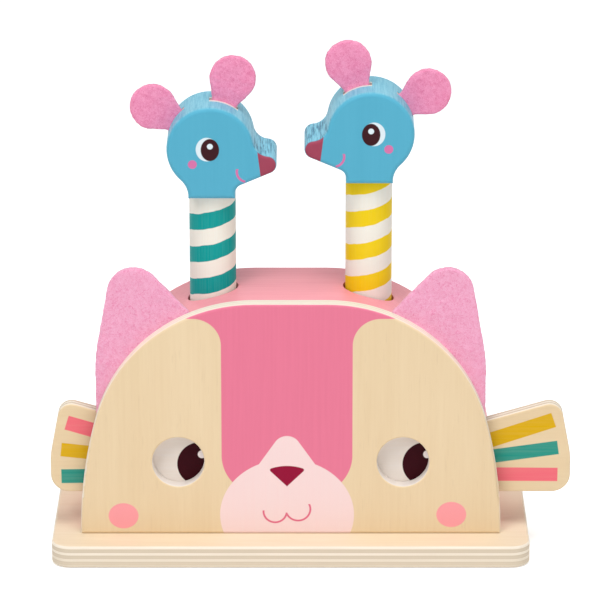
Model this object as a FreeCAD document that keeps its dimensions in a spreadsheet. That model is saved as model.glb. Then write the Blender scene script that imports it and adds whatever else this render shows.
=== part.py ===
import FreeCAD, Part
import math
import os
import Sketcher

# Wooden pop-up toy: a domed box on a base plate, two mice on rods joined by a rocker, and an eye slider.
# Millimetres, +Z up, front towards -Y. The origin is the centre of the base plate's underside.

# Driving sizes: name, value, what it is.
SIZES = [
    ("base_length", 206.0, "base plate along X"),
    ("base_depth", 85.0, "base plate along Y"),
    ("base_thickness", 10.0, "base plywood"),
    ("base_corner", 8.5, "plan corner radius of the base"),
    ("edge_round", 1.2, "sanded edge of the plywood pieces"),
    ("body_width", 181.2, "front panel across its foot"),
    ("body_height", 104.5, "front panel above the base"),
    ("body_depth", 55.0, "front face to back face"),
    ("panel_thickness", 6.0, "front and back panel plywood"),
    ("crown_width", 31.5, "flat run on top of the dome"),
    ("shoulder_radius", 70.3, "large arc beside the crown"),
    ("shoulder_sweep", 73.9, "degrees swept by the shoulder arc"),
    ("shell_inset", 1.0, "shell below the panel edge"),
    ("shell_wall", 4.0, "bent plywood of the shell"),
    ("eye_spacing", 96.6, "between the eye holes"),
    ("eye_height", 33.0, "eye hole centre above the base"),
    ("eye_diameter", 22.3, "eye hole"),
    ("eye_rim_round", 0.8, "rounding of the eye hole rim"),
    ("felt_thickness", 3.0, "felt of all the ears"),
    ("felt_clearance", 0.1, "felt in its slot"),
    ("ear_start_angle", 23.0, "degrees from the top where a cat ear begins"),
    ("ear_end_angle", 75.0, "degrees from the top where a cat ear ends"),
    ("ear_peak_out", 58.4, "unrounded ear peak outwards from the shoulder centre"),
    ("ear_peak_up", 97.3, "unrounded ear peak above the shoulder centre"),
    ("ear_peak_round", 11.5, "rounding of a cat ear's peak"),
    ("ear_side_up", 44.0, "bend in the ear's outer side above the shoulder centre"),
    ("ear_side_round", 60.0, "rounding of that bend"),
    ("ear_slot_play", 1.0, "slot in the shell past each end of a cat ear"),
    ("slider_thickness", 6.5, "eye slider plywood"),
    ("slider_travel", 17.0, "left to right travel of the eye slider"),
    ("slider_lift", 15.8, "slider's lower edge above the base"),
    ("slider_bar_height", 32.0, "slider between the guides"),
    ("slider_play", 0.5, "slider to its guides"),
    ("slide_gap", 0.4, "slider to the felt ears and the keeper"),
    ("fin_span", 224.8, "tip to tip of the two fins"),
    ("fin_height", 42.0, "unrounded top corner of a fin above its lower edge"),
    ("fin_slant", 4.8, "how far the fin's top corner leans inwards"),
    ("fin_bend_height", 17.0, "bend in the fin's outer edge above its lower edge"),
    ("fin_slope", 16.4, "degrees that the fin's top edge rises outwards"),
    ("fin_corner", 8.0, "lower outer corner radius"),
    ("fin_top_corner", 6.0, "upper outer corner radius"),
    ("fin_bend_round", 30.0, "rounding of the bend"),
    ("eye_board_margin", 1.5, "eye board past the pupils' sweep"),
    ("eye_board_height", 29.0, "white board behind the eye holes"),
    ("board_corner", 2.0, "corner radius of the eye board and the keeper"),
    ("board_gap", 0.3, "eye board to the front panel"),
    ("guide_length", 120.0, "slider guides along X"),
    ("upper_guide_length", 90.0, "upper guide along X"),
    ("upper_guide_height", 8.0, "upper guide"),
    ("keeper_width", 40.0, "keeper plate along X"),
    ("keeper_thickness", 2.5, "keeper plate behind the slider"),
    ("keeper_lap", 6.0, "keeper plate over each guide"),
    ("rear_cleat_length", 150.0, "glue block at the back panel"),
    ("rear_cleat_height", 12.0, "glue block at the back panel"),
    ("rear_cleat_width", 7.5, "glue block at the back panel"),
    ("rod_diameter", 20.0, "mouse rods"),
    ("rod_spacing", 67.0, "between the rod axes"),
    ("rod_setback", 3.0, "rod axes behind the middle of the body"),
    ("rod_hole_clearance", 1.0, "radial clearance of a rod in the shell"),
    ("rod_travel", 36.0, "up and down travel of a rod"),
    ("rest_offset", 3.35, "right rod above and left rod below the middle at rest"),
    ("head_height", 149.6, "head's lower face above the base at the middle of the travel"),
    ("pivot_height", 32.0, "rocker axle above the base"),
    ("axle_diameter", 8.0, "rocker axle dowel"),
    ("axle_seat", 4.0, "axle in each panel"),
    ("axle_play", 0.1, "radial clearance of the rocker on its axle"),
    ("spacer_diameter", 14.0, "spacer rings on the axle"),
    ("side_play", 0.2, "end clearance of the spacers"),
    ("beam_thickness", 8.0, "rocker plywood"),
    ("beam_height", 16.0, "rocker"),
    ("pin_diameter", 5.0, "cross pins through the rods"),
    ("pin_clearance", 0.65, "pin in the rocker's slots, each side"),
    ("pin_slot_wall", 4.0, "rocker past the slots' outer ends"),
    ("pin_inset", 0.5, "ends of the cross pins inside the rods"),
    ("fork_clearance", 0.6, "rod fork beside the rocker, each side"),
    ("fork_leg", 8.0, "rod below its cross pin"),
    ("fork_rise", 17.0, "fork slot above the cross pin"),
    ("rod_foot_bevel", 1.5, "bevel at the foot of a rod"),
    ("glue_gap", 0.05, "dowels and pins in glued holes"),
    ("dowel_diameter", 8.0, "dowel between rod and head"),
    ("dowel_depth", 12.0, "dowel in the rod and in the head"),
    ("head_thickness", 29.0, "mouse head front to back"),
    ("head_radius", 18.5, "round of a mouse head"),
    ("head_centre_up", 21.6, "centre of the round above the neck"),
    ("head_centre_back", 0.6, "centre of the round behind the rod axis"),
    ("head_edge_round", 1.8, "sanded edge of a head"),
    ("snout_reach", 27.6, "snout tip from the rod axis"),
    ("snout_height", 15.0, "middle of the snout tip above the neck"),
    ("snout_tip_radius", 4.0, "round of the snout tip"),
    ("jaw_slope", 23.0, "degrees that the jaw line rises towards the snout"),
    ("neck_corner", 4.0, "hollow between neck and jaw"),
    ("brow_hollow", 7.0, "hollow between brow and snout"),
    ("nape_hollow", 10.0, "hollow between nape and neck"),
    ("mouse_ear_radius", 9.9, "round of a mouse ear"),
    ("inner_ear_reach", 29.4, "inner ear's centre from the head centre"),
    ("outer_ear_reach", 28.8, "outer ear's centre from the head centre"),
    ("mouse_ear_root", 11.0, "width of a mouse ear at its slot"),
    ("mouse_ear_seat", 5.0, "mouse ear in its slot"),
    ("ear_kerf_play", 1.0, "slot past each side of a mouse ear's root"),
    ("inner_ear_angle", 19.0, "degrees from upright, towards the snout"),
    ("outer_ear_angle", 58.0, "degrees from upright, away from the snout"),
    ("screw_head", 7.0, "base screw head diameter"),
    ("screw_head_depth", 2.4, "base screw head"),
    ("screw_diameter", 3.5, "base screw shank"),
    ("screw_length", 20.0, "base screw"),
    ("screw_play", 0.25, "screw in the base plate, radial"),
    ("screw_spacing", 100.0, "base screws along X"),
]

doc = FreeCAD.newDocument("PopUpToy")
sheet = doc.addObject("Spreadsheet::Sheet", "Sizes")
for row, (alias, value, note) in enumerate(SIZES, 1):
    sheet.set("A%d" % row, note)
    sheet.set("B%d" % row, str(value))
    sheet.setAlias("B%d" % row, alias)
doc.recompute()
size = {alias: float(sheet.get(alias)) for alias, value, note in SIZES}
nodes = []

# Closer than this is the same place, and a cut that removes less than this has missed.
SAME_PLACE = 1e-4
LEAST_CUT = 0.01


def vec(x, y, z=0.0):
    return FreeCAD.Vector(x, y, z)


def formula(text):
    """Expression text with every size name read from the sheet."""
    words = []
    word = ""
    for letter in text + " ":
        if letter.isalnum() or letter == "_":
            word += letter
            continue
        words.append("Sizes." + word if word in size else word)
        words.append(letter)
        word = ""
    return "".join(words).strip()


def bind(thing, field, text):
    thing.setExpression(field, formula(text))


def worked_out(text):
    """The value of an expression written with size names."""
    answer = sheet.evalExpression(formula(text))
    return float(getattr(answer, "Value", answer))


# Outlines: lists of lines, arcs through three points, and circles, in a sketch's own plane.

def rounded_corner(before, corner, after, radius):
    if radius == 0:
        return corner, None, corner
    towards = (before - corner).normalize()
    away = (after - corner).normalize()
    half_angle = towards.getAngle(away) / 2
    reach = radius / math.tan(half_angle)
    middle_way = (towards + away).normalize()
    centre = corner + middle_way * (radius / math.sin(half_angle))
    return corner + towards * reach, centre - middle_way * radius, corner + away * reach


def rounded_loop(corners):
    """A closed outline through corners (x, y, radius), each radius a tangent arc."""
    points = [vec(x, y) for x, y, radius in corners]
    count = len(corners)
    turns = []
    for index in range(count):
        after = points[(index + 1) % count]
        turns.append(rounded_corner(points[index - 1], points[index], after, corners[index][2]))
    edges = []
    for index in range(count):
        start, middle, leave = turns[index]
        following = turns[(index + 1) % count][0]
        if middle is not None:
            edges.append(("arc", start, middle, leave))
        edges.append(("line", leave, following))
    return edges


def rectangle(left, bottom, right, top, radius=0):
    return rounded_loop([(left, bottom, radius), (right, bottom, radius),
                         (right, top, radius), (left, top, radius)])


def circle(x, y, radius):
    return [("circle", vec(x, y), radius)]


def long_slot(middle_x, middle_y, reach, radius):
    """A slot with round ends whose end centres are reach apart from the middle."""
    left = middle_x - reach
    right = middle_x + reach
    low = middle_y - radius
    high = middle_y + radius
    return [("line", vec(left, low), vec(right, low)),
            ("arc", vec(right, low), vec(right + radius, middle_y), vec(right, high)),
            ("line", vec(right, high), vec(left, high)),
            ("arc", vec(left, high), vec(left - radius, middle_y), vec(left, low))]


def mirrored(edges):
    """The outline reflected across X = 0."""
    turned = []
    for kind, first, *rest in edges:
        flipped = [vec(-p.x, p.y) if isinstance(p, FreeCAD.Vector) else p for p in rest]
        turned.append((kind, vec(-first.x, first.y), *flipped))
    return turned


def backwards(edges):
    """The same edges drawn from their other end."""
    return [(kind, *reversed(points)) for kind, *points in reversed(edges)]


def line_between(first, second):
    """A line from the end of one run of edges to the start of another."""
    return "line", first[-1][-1], second[0][1]


def draw(sketch, outlines):
    """Draws the outlines and joins each edge to the next where they meet."""
    for edges in outlines:
        first = sketch.GeometryCount
        for kind, *values in edges:
            if kind == "line":
                sketch.addGeometry(Part.LineSegment(*values), False)
            elif kind == "arc":
                sketch.addGeometry(Part.Arc(*values), False)
            else:
                centre, radius = values
                sketch.addGeometry(Part.Circle(centre, vec(0, 0, 1), radius), False)
        if len(edges) > 1:
            join_ends(sketch, first, len(edges))


def join_ends(sketch, first, count):
    start_or_end = (1, 2)
    for step in range(count):
        here = first + step
        following = first + (step + 1) % count
        for near in start_or_end:
            for far in start_or_end:
                gap = sketch.getPoint(here, near) - sketch.getPoint(following, far)
                if gap.Length < SAME_PLACE:
                    sketch.addConstraint(Sketcher.Constraint("Coincident", here, near, following, far))


# Features of a body. A plate's outline lies in X and Z, and its thickness runs along Y.

def new_body(name):
    body = doc.addObject("PartDesign::Body", name)
    body.Label = name
    nodes.append(body)
    return body


def new_sketch(body, plane, offset, outlines):
    """A sketch on one of the body's own planes, moved along the plane's normal by offset."""
    sketch = body.newObject("Sketcher::SketchObject", body.Label + "_outline")
    support = [item for item in body.Origin.OriginFeatures if item.Role == plane][0]
    sketch.AttachmentSupport = [(support, "")]
    sketch.MapMode = "FlatFace"
    bind(sketch, ".AttachmentOffset.Base.z", offset)
    draw(sketch, outlines)
    return sketch


def pad(body, plane, offset, outlines, length):
    feature = body.newObject("PartDesign::Pad", body.Label + "_pad")
    feature.Profile = new_sketch(body, plane, offset, outlines)
    bind(feature, "Length", length)
    doc.recompute()
    return feature


def pocket(body, plane, offset, outlines, length, reverse=False, both_ways=False):
    volume_before = body.Shape.Volume
    feature = body.newObject("PartDesign::Pocket", body.Label + "_pocket")
    feature.Profile = new_sketch(body, plane, offset, outlines)
    bind(feature, "Length", length)
    feature.Reversed = reverse
    if both_ways:
        feature.SideType = "Symmetric"
    doc.recompute()
    if body.Shape.Volume > volume_before - LEAST_CUT:
        raise RuntimeError("a cut removed nothing from " + body.Label)
    return feature


def plate(name, outlines, rear, thickness):
    """A flat piece from Y = rear forwards by its thickness."""
    body = new_body(name)
    pad(body, "XZ_Plane", "-(" + rear + ")", outlines, thickness)
    return body


def round_edges(body, radius, wanted):
    """Rounds every edge of the body's last feature that the test picks."""
    dress_edges(body, "PartDesign::Fillet", "Radius", radius, wanted)


def bevel_edges(body, width, wanted):
    dress_edges(body, "PartDesign::Chamfer", "Size", width, wanted)


def dress_edges(body, kind, field, amount, wanted):
    last = body.Tip
    names = ["Edge%d" % number for number, edge in enumerate(last.Shape.Edges, 1) if wanted(edge)]
    feature = body.newObject(kind, body.Label + "_edges")
    feature.Base = (last, names)
    bind(feature, field, amount)
    doc.recompute()


def lies_at(edge, axis, place):
    box = edge.BoundBox
    low, high = {"y": (box.YMin, box.YMax), "z": (box.ZMin, box.ZMax)}[axis]
    return abs(low - place) < SAME_PLACE and abs(high - place) < SAME_PLACE


def edges_at(axis, *places):
    """A test that picks the edges lying flat at any of these places."""
    def wanted(edge):
        return any(lies_at(edge, axis, place) for place in places)
    return wanted


def round_bar(name, diameter, length, place, along_y=True):
    """A dowel from its place, towards +Y or towards +Z."""
    piece = doc.addObject("Part::Cylinder", name)
    piece.Label = name
    bind(piece, "Radius", diameter + " / 2")
    bind(piece, "Height", length)
    if along_y:
        piece.Placement.Rotation = FreeCAD.Rotation(vec(1, 0, 0), -90)
    bind(piece, ".Placement.Base.x", place[0])
    bind(piece, ".Placement.Base.y", place[1])
    bind(piece, ".Placement.Base.z", place[2])
    nodes.append(piece)
    return piece


# The dome outline: a flat crown, a shoulder arc, and a side arc that ends at the foot of the panel.

base_top = size["base_thickness"]
crown_top = base_top + size["body_height"]
shoulder_centre = vec(size["crown_width"] / 2, crown_top - size["shoulder_radius"])


def from_top(angle):
    """The direction at an angle in degrees from straight up, towards +X."""
    return vec(math.sin(math.radians(angle)), math.cos(math.radians(angle)))


def side_arc():
    """Centre and radius of the arc that leaves the shoulder smoothly and ends at the foot."""
    outward = from_top(size["shoulder_sweep"])
    start = shoulder_centre + outward * size["shoulder_radius"]
    foot = vec(size["body_width"] / 2, base_top)
    reach = foot - start
    radius = reach.dot(reach) / (2 * reach.dot(-outward))
    return start - outward * radius, radius


def dome_half(inset):
    """Right half of the dome outline, from the crown's middle down to the base, set in by inset."""
    shoulder = size["shoulder_radius"] - inset
    centre, radius = side_arc()
    radius -= inset
    middle_angle = size["shoulder_sweep"] / 2
    foot_angle = 90 + math.degrees(math.asin((centre.y - base_top) / radius))
    low_angle = (size["shoulder_sweep"] + foot_angle) / 2
    crown_end = shoulder_centre + vec(0, shoulder)
    join = shoulder_centre + from_top(size["shoulder_sweep"]) * shoulder
    foot = centre + from_top(foot_angle) * radius
    return [("arc", crown_end, shoulder_centre + from_top(middle_angle) * shoulder, join),
            ("arc", join, centre + from_top(low_angle) * radius, foot)]


def dome_outline(inset):
    """The closed dome: crown, right side, foot, left side."""
    right = dome_half(inset)
    left = backwards(mirrored(right))
    return [line_between(left, right)] + right + [line_between(right, left)] + left


def dome_arch(inset):
    """From the left foot over the crown to the right foot."""
    right = dome_half(inset)
    left = backwards(mirrored(right))
    return left + [line_between(left, right)] + right


def shell_ring():
    """The bent shell: the outer dome, a foot, the inner dome, a foot."""
    outer = dome_arch(size["shell_inset"])
    inner = backwards(dome_arch(size["shell_inset"] + size["shell_wall"]))
    return outer + [line_between(outer, inner)] + inner + [line_between(inner, outer)]


# Shared places along Y, as expressions.

FRONT_INSIDE = "-(body_depth / 2 - panel_thickness)"
BACK_INSIDE = "body_depth / 2 - panel_thickness"
EAR_REAR = FRONT_INSIDE + " + felt_thickness"
SLIDER_FRONT = EAR_REAR + " + slide_gap"
SLIDER_REAR = SLIDER_FRONT + " + slider_thickness"
KEEPER_FRONT = SLIDER_REAR + " + slide_gap"
KEEPER_REAR = KEEPER_FRONT + " + keeper_thickness"
GUIDE_DEPTH = "felt_thickness + 2 * slide_gap + slider_thickness"
PIVOT_Z = "base_thickness + pivot_height"
BEAM_REAR = "rod_setback + beam_thickness / 2"
BEAM_FRONT = "rod_setback - beam_thickness / 2"


def base_plate():
    body = new_body("base_plate")
    half_length = size["base_length"] / 2
    half_depth = size["base_depth"] / 2
    outline = rectangle(-half_length, -half_depth, half_length, half_depth, size["base_corner"])
    pad(body, "XY_Plane", "0", [outline], "base_thickness")
    round_edges(body, "edge_round", edges_at("z", 0, base_top))
    holes = [circle(x, y, size["screw_diameter"] / 2 + size["screw_play"]) for x, y in screw_places()]
    pocket(body, "XY_Plane", "0", holes, "base_thickness", reverse=True)
    recesses = [circle(x, y, size["screw_head"] / 2 + size["screw_play"]) for x, y in screw_places()]
    pocket(body, "XY_Plane", "0", recesses, "screw_head_depth + screw_play", reverse=True)


def front_screw_row():
    return worked_out(FRONT_INSIDE + " + (" + GUIDE_DEPTH + ") / 2")


def back_screw_row():
    return worked_out(BACK_INSIDE + " - rear_cleat_width / 2")


def screw_places():
    half = size["screw_spacing"] / 2
    return [(x, y) for y in (front_screw_row(), back_screw_row()) for x in (-half, half)]


def base_screws():
    """Four wood screws from below, one solid each."""
    solids = []
    for number, (x, y) in enumerate(screw_places(), 1):
        head = doc.addObject("Part::Cylinder", "screw_head_%d" % number)
        bind(head, "Radius", "screw_head / 2")
        bind(head, "Height", "screw_head_depth")
        shank = doc.addObject("Part::Cylinder", "screw_shank_%d" % number)
        bind(shank, "Radius", "screw_diameter / 2")
        bind(shank, "Height", "screw_length - screw_diameter")
        point = doc.addObject("Part::Cone", "screw_point_%d" % number)
        bind(point, "Radius1", "screw_diameter / 2")
        bind(point, "Radius2", "screw_diameter / 10")
        bind(point, "Height", "screw_diameter")
        for piece, rise in ((head, "0"), (shank, "0"), (point, "screw_length - screw_diameter")):
            piece.Placement.Base = vec(x, y, 0)
            bind(piece, ".Placement.Base.z", "screw_play + " + rise)
        screw = doc.addObject("Part::MultiFuse", "screw_%d" % number)
        screw.Shapes = [head, shank, point]
        solids.append(screw)
    group = doc.addObject("Part::Compound", "base_screws")
    group.Label = "base_screws"
    group.Links = solids
    nodes.append(group)


def panel(name, inset, rear, inner_face, holes, hole_side):
    """A domed panel with a blind seat for the rocker axle in its inner face."""
    body = plate(name, [dome_outline(inset)] + holes, rear, "panel_thickness")
    seat = [circle(0, worked_out(PIVOT_Z), size["axle_diameter"] / 2 + size["glue_gap"])]
    pocket(body, "XZ_Plane", "-(" + inner_face + ")", seat, "axle_seat", reverse=hole_side)
    return body


def front_panel():
    eye_z = base_top + size["eye_height"]
    half = size["eye_spacing"] / 2
    eyes = [circle(side * half, eye_z, size["eye_diameter"] / 2) for side in (-1, 1)]
    body = panel("front_panel", 0, FRONT_INSIDE, FRONT_INSIDE, eyes, True)
    on_face = edges_at("y", -size["body_depth"] / 2)

    def is_eye_rim(edge):
        return on_face(edge) and edge.isClosed()

    def is_outline(edge):
        return on_face(edge) and not edge.isClosed()

    round_edges(body, "eye_rim_round", is_eye_rim)
    round_edges(body, "edge_round", is_outline)


def back_panel():
    body = panel("back_panel", size["shell_inset"], "body_depth / 2", BACK_INSIDE, [], False)
    round_edges(body, "edge_round", edges_at("y", size["body_depth"] / 2))


def ear_sector(side, first_angle, last_angle, inner, outer):
    """A slice of ring about the shoulder centre, between two angles and two radii."""
    middle = (first_angle + last_angle) / 2
    corner = {(angle, radius): shoulder_centre + from_top(angle) * radius
              for angle in (first_angle, middle, last_angle) for radius in (inner, outer)}
    edges = [("arc", corner[first_angle, outer], corner[middle, outer], corner[last_angle, outer]),
             ("line", corner[last_angle, outer], corner[last_angle, inner]),
             ("arc", corner[last_angle, inner], corner[middle, inner], corner[first_angle, inner]),
             ("line", corner[first_angle, inner], corner[first_angle, outer])]
    return edges if side > 0 else mirrored(edges)


def dome_shell():
    """The bent shell with round rod holes, and slots behind the front panel for ears and fins."""
    body = plate("dome_shell", [shell_ring()], BACK_INSIDE, "body_depth - 2 * panel_thickness")
    half = size["rod_spacing"] / 2
    hole = size["rod_diameter"] / 2 + size["rod_hole_clearance"]
    rods = [circle(side * half, size["rod_setback"], hole) for side in (-1, 1)]
    pocket(body, "XY_Plane", "base_thickness + body_height", rods, "body_height / 2")
    inner = size["shoulder_radius"] - size["shell_inset"] - 2 * size["shell_wall"]
    outer = size["shoulder_radius"] + size["shell_wall"]
    play = math.degrees(size["ear_slot_play"] / size["shoulder_radius"])
    first = size["ear_start_angle"] - play
    last = size["ear_end_angle"] + play
    ears = [ear_sector(side, first, last, inner, outer) for side in (-1, 1)]
    pocket(body, "XZ_Plane", "-(" + FRONT_INSIDE + ")", ears, "felt_thickness + felt_clearance")
    low = worked_out("base_thickness + slider_lift - slider_play")
    high = fin_top() + size["slider_play"]
    near = size["body_width"] / 4
    far = size["body_width"] / 2 + size["shell_wall"]
    fins = [rectangle(min(side * near, side * far), low, max(side * near, side * far), high)
            for side in (-1, 1)]
    pocket(body, "XZ_Plane", "-(" + FRONT_INSIDE + ")", fins, GUIDE_DEPTH)


def cat_ear(name, side):
    """A felt ear: its foot passes through the shell, its sides rise to one rounded peak."""
    foot_radius = size["shoulder_radius"] - size["shell_inset"] - size["shell_wall"]
    first = size["ear_start_angle"]
    last = size["ear_end_angle"]
    foot_start = shoulder_centre + from_top(first) * foot_radius
    foot_middle = shoulder_centre + from_top((first + last) / 2) * foot_radius
    foot_end = shoulder_centre + from_top(last) * foot_radius
    rise = shoulder_centre + from_top(first) * size["shoulder_radius"]
    tip = shoulder_centre + from_top(last) * size["shoulder_radius"]
    peak = shoulder_centre + vec(size["ear_peak_out"], size["ear_peak_up"])
    corners = [(foot_start.x, foot_start.y, 0), (rise.x, rise.y, 0),
               (peak.x, peak.y, size["ear_peak_round"]),
               (tip.x, shoulder_centre.y + size["ear_side_up"], size["ear_side_round"]),
               (tip.x, tip.y, 0), (foot_end.x, foot_end.y, 0)]
    edges = rounded_loop(corners)[:-1] + [("arc", foot_end, foot_middle, foot_start)]
    plate(name, [edges if side > 0 else mirrored(edges)], EAR_REAR, "felt_thickness")


def fin_top():
    """Highest point that a fin's top edge can reach, at the unrounded corner."""
    return worked_out("base_thickness + slider_lift + fin_height")


def slider_slot():
    """The slot that the axle passes through. Its ends stop the slider."""
    radius = size["axle_diameter"] / 2 + size["slider_play"]
    return long_slot(0, worked_out(PIVOT_Z), size["slider_travel"] / 2, radius)


def eye_slider():
    """One board: a bar behind the face, and a fin at each end that shows outside."""
    low = worked_out("base_thickness + slider_lift")
    bar_top = low + size["slider_bar_height"]
    tip = size["fin_span"] / 2
    corner_x = tip - size["fin_slant"]
    slope = math.tan(math.radians(size["fin_slope"]))
    shoulder_x = corner_x - (low + size["fin_height"] - bar_top) / slope
    right = [(tip, low, size["fin_corner"]),
             (tip, low + size["fin_bend_height"], size["fin_bend_round"]),
             (corner_x, low + size["fin_height"], size["fin_top_corner"]),
             (shoulder_x, bar_top, 0)]
    left = [(-x, z, radius) for x, z, radius in reversed(right)]
    body = plate("eye_slider", [rounded_loop(right + left), slider_slot()],
                 SLIDER_REAR, "slider_thickness")
    on_faces = edges_at("y", worked_out(SLIDER_FRONT), worked_out(SLIDER_REAR))
    past_slot = size["slider_travel"] + size["axle_diameter"]

    def is_outline(edge):
        box = edge.BoundBox
        return on_faces(edge) and max(-box.XMin, box.XMax) > past_slot

    round_edges(body, "eye_rim_round", is_outline)
    bind(body, ".Placement.Base.x", "slider_travel / 2")


def eye_board():
    """The white board with the pupils, glued to the slider just behind the eye holes."""
    reach = worked_out("eye_spacing / 2 + eye_diameter / 2 + slider_travel / 2 + eye_board_margin")
    middle = base_top + size["eye_height"]
    half = size["eye_board_height"] / 2
    board = rectangle(-reach, middle - half, reach, middle + half, size["board_corner"])
    body = plate("eye_board", [board, slider_slot()], SLIDER_FRONT,
                 "felt_thickness + slide_gap - board_gap")
    bind(body, ".Placement.Base.x", "slider_travel / 2")


def guides():
    """Blocks glued behind the front panel, below and above the slider."""
    half = size["guide_length"] / 2
    low = worked_out("base_thickness + slider_lift - slider_play")
    lower = plate("lower_guide", [rectangle(-half, base_top, half, low)],
                  FRONT_INSIDE + " + " + GUIDE_DEPTH, GUIDE_DEPTH)
    pilot_holes(lower, front_screw_row())
    half = size["upper_guide_length"] / 2
    foot = worked_out("base_thickness + slider_lift + slider_bar_height + slider_play")
    plate("upper_guide", [rectangle(-half, foot, half, foot + size["upper_guide_height"])],
          FRONT_INSIDE + " + " + GUIDE_DEPTH, GUIDE_DEPTH)


def rear_cleat():
    """The block that holds the back panel to the base."""
    half = size["rear_cleat_length"] / 2
    body = plate("rear_cleat", [rectangle(-half, base_top, half, base_top + size["rear_cleat_height"])],
                 BACK_INSIDE, "rear_cleat_width")
    pilot_holes(body, back_screw_row())


def pilot_holes(body, row):
    """Blind holes from below for the two base screws of one row."""
    half = size["screw_spacing"] / 2
    holes = [circle(side * half, row, size["screw_diameter"] / 2 + size["glue_gap"]) for side in (-1, 1)]
    pocket(body, "XY_Plane", "base_thickness", holes, "screw_length + 2 * screw_play - base_thickness",
           reverse=True)


def slider_keeper():
    """A thin plate across both guides that keeps the slider from falling back."""
    low = worked_out("base_thickness + slider_lift - slider_play - keeper_lap")
    high = worked_out("base_thickness + slider_lift + slider_bar_height + slider_play + keeper_lap")
    half = size["keeper_width"] / 2
    hole = circle(0, worked_out(PIVOT_Z), size["axle_diameter"] / 2 + size["axle_play"])
    board = rectangle(-half, low, half, high, size["board_corner"])
    plate("slider_keeper", [board, hole], KEEPER_REAR, "keeper_thickness")


def axle_and_spacers():
    round_bar("rocker_axle", "axle_diameter", "body_depth - 2 * (panel_thickness - axle_seat)",
              ("0", "-(body_depth / 2 - panel_thickness + axle_seat)", PIVOT_Z))
    pivot = worked_out(PIVOT_Z)
    ring = [circle(0, pivot, size["spacer_diameter"] / 2),
            circle(0, pivot, size["axle_diameter"] / 2 + size["axle_play"])]
    plate("front_spacer", ring, BEAM_FRONT + " - side_play",
          BEAM_FRONT + " - side_play - (" + KEEPER_REAR + ")")
    plate("rear_spacer", ring, BACK_INSIDE,
          BACK_INSIDE + " - (" + BEAM_REAR + " + side_play)")


def steepest_tilt():
    return math.atan(size["rod_travel"] / size["rod_spacing"])


def rocker_beam():
    """The rocker: turned about its axle so that its slots meet the rods' pins at rest."""
    half = size["rod_spacing"] / 2
    slot_radius = size["pin_diameter"] / 2 + size["pin_clearance"]
    slot_near = half - size["pin_clearance"]
    slot_far = half / math.cos(steepest_tilt()) + size["pin_clearance"]
    slot_middle = (slot_near + slot_far) / 2
    slot_reach = (slot_far - slot_near) / 2
    beam_end = slot_far + slot_radius + size["pin_slot_wall"] - size["beam_height"] / 2
    loops = [long_slot(0, 0, beam_end, size["beam_height"] / 2),
             circle(0, 0, size["axle_diameter"] / 2 + size["axle_play"])]
    loops += [long_slot(side * slot_middle, 0, slot_reach, slot_radius) for side in (-1, 1)]
    body = plate("rocker_beam", loops, BEAM_REAR, "beam_thickness")
    body.Placement.Rotation = FreeCAD.Rotation(vec(0, -1, 0), 1)
    bind(body, ".Placement.Base.z", PIVOT_Z)
    bind(body, ".Placement.Rotation.Angle", "atan(2 * rest_offset / rod_spacing)")


# A mouse: its rod, the pin and dowel in it, the head and two felt ears.

def rod_foot(side):
    """Height of a rod's foot at rest, as an expression."""
    return PIVOT_Z + " - fork_leg + (" + str(side) + ") * rest_offset"


def neck_z(side):
    return "base_thickness + head_height + (" + str(side) + ") * rest_offset"


def mouse_rod(name, side):
    """A dowel with a fork and a pin hole at its foot and a dowel hole in its top."""
    body = new_body(name)
    radius = size["rod_diameter"] / 2
    pad(body, "XY_Plane", "0", [circle(0, 0, radius)], "head_height - pivot_height + fork_leg")
    bevel_edges(body, "rod_foot_bevel", edges_at("z", 0))
    half_slot = size["beam_thickness"] / 2 + size["fork_clearance"]
    slot_top = size["fork_leg"] + size["fork_rise"]
    fork = rectangle(-half_slot, -size["rod_foot_bevel"], half_slot, slot_top)
    pocket(body, "YZ_Plane", "0", [fork], "2 * rod_diameter", both_ways=True)
    pin = circle(0, size["fork_leg"], size["pin_diameter"] / 2 + size["glue_gap"])
    pocket(body, "XZ_Plane", "0", [pin], "2 * rod_diameter", both_ways=True)
    bore = circle(0, 0, size["dowel_diameter"] / 2 + size["glue_gap"])
    pocket(body, "XY_Plane", "head_height - pivot_height + fork_leg", [bore], "dowel_depth + glue_gap")
    place(body, side, rod_foot(side))


def place(piece, side, height):
    bind(piece, ".Placement.Base.x", str(side) + " * rod_spacing / 2")
    bind(piece, ".Placement.Base.y", "rod_setback")
    bind(piece, ".Placement.Base.z", height)


def rod_pin(name, side):
    round_bar(name, "pin_diameter", "rod_diameter - 2 * pin_inset",
              (str(side) + " * rod_spacing / 2", "rod_setback - rod_diameter / 2 + pin_inset",
               rod_foot(side) + " + fork_leg"))


def neck_dowel(name, side):
    round_bar(name, "dowel_diameter", "2 * dowel_depth",
              (str(side) + " * rod_spacing / 2", "rod_setback", neck_z(side) + " - dowel_depth"),
              along_y=False)


def head_centre():
    return vec(-size["head_centre_back"], size["head_centre_up"])


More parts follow.
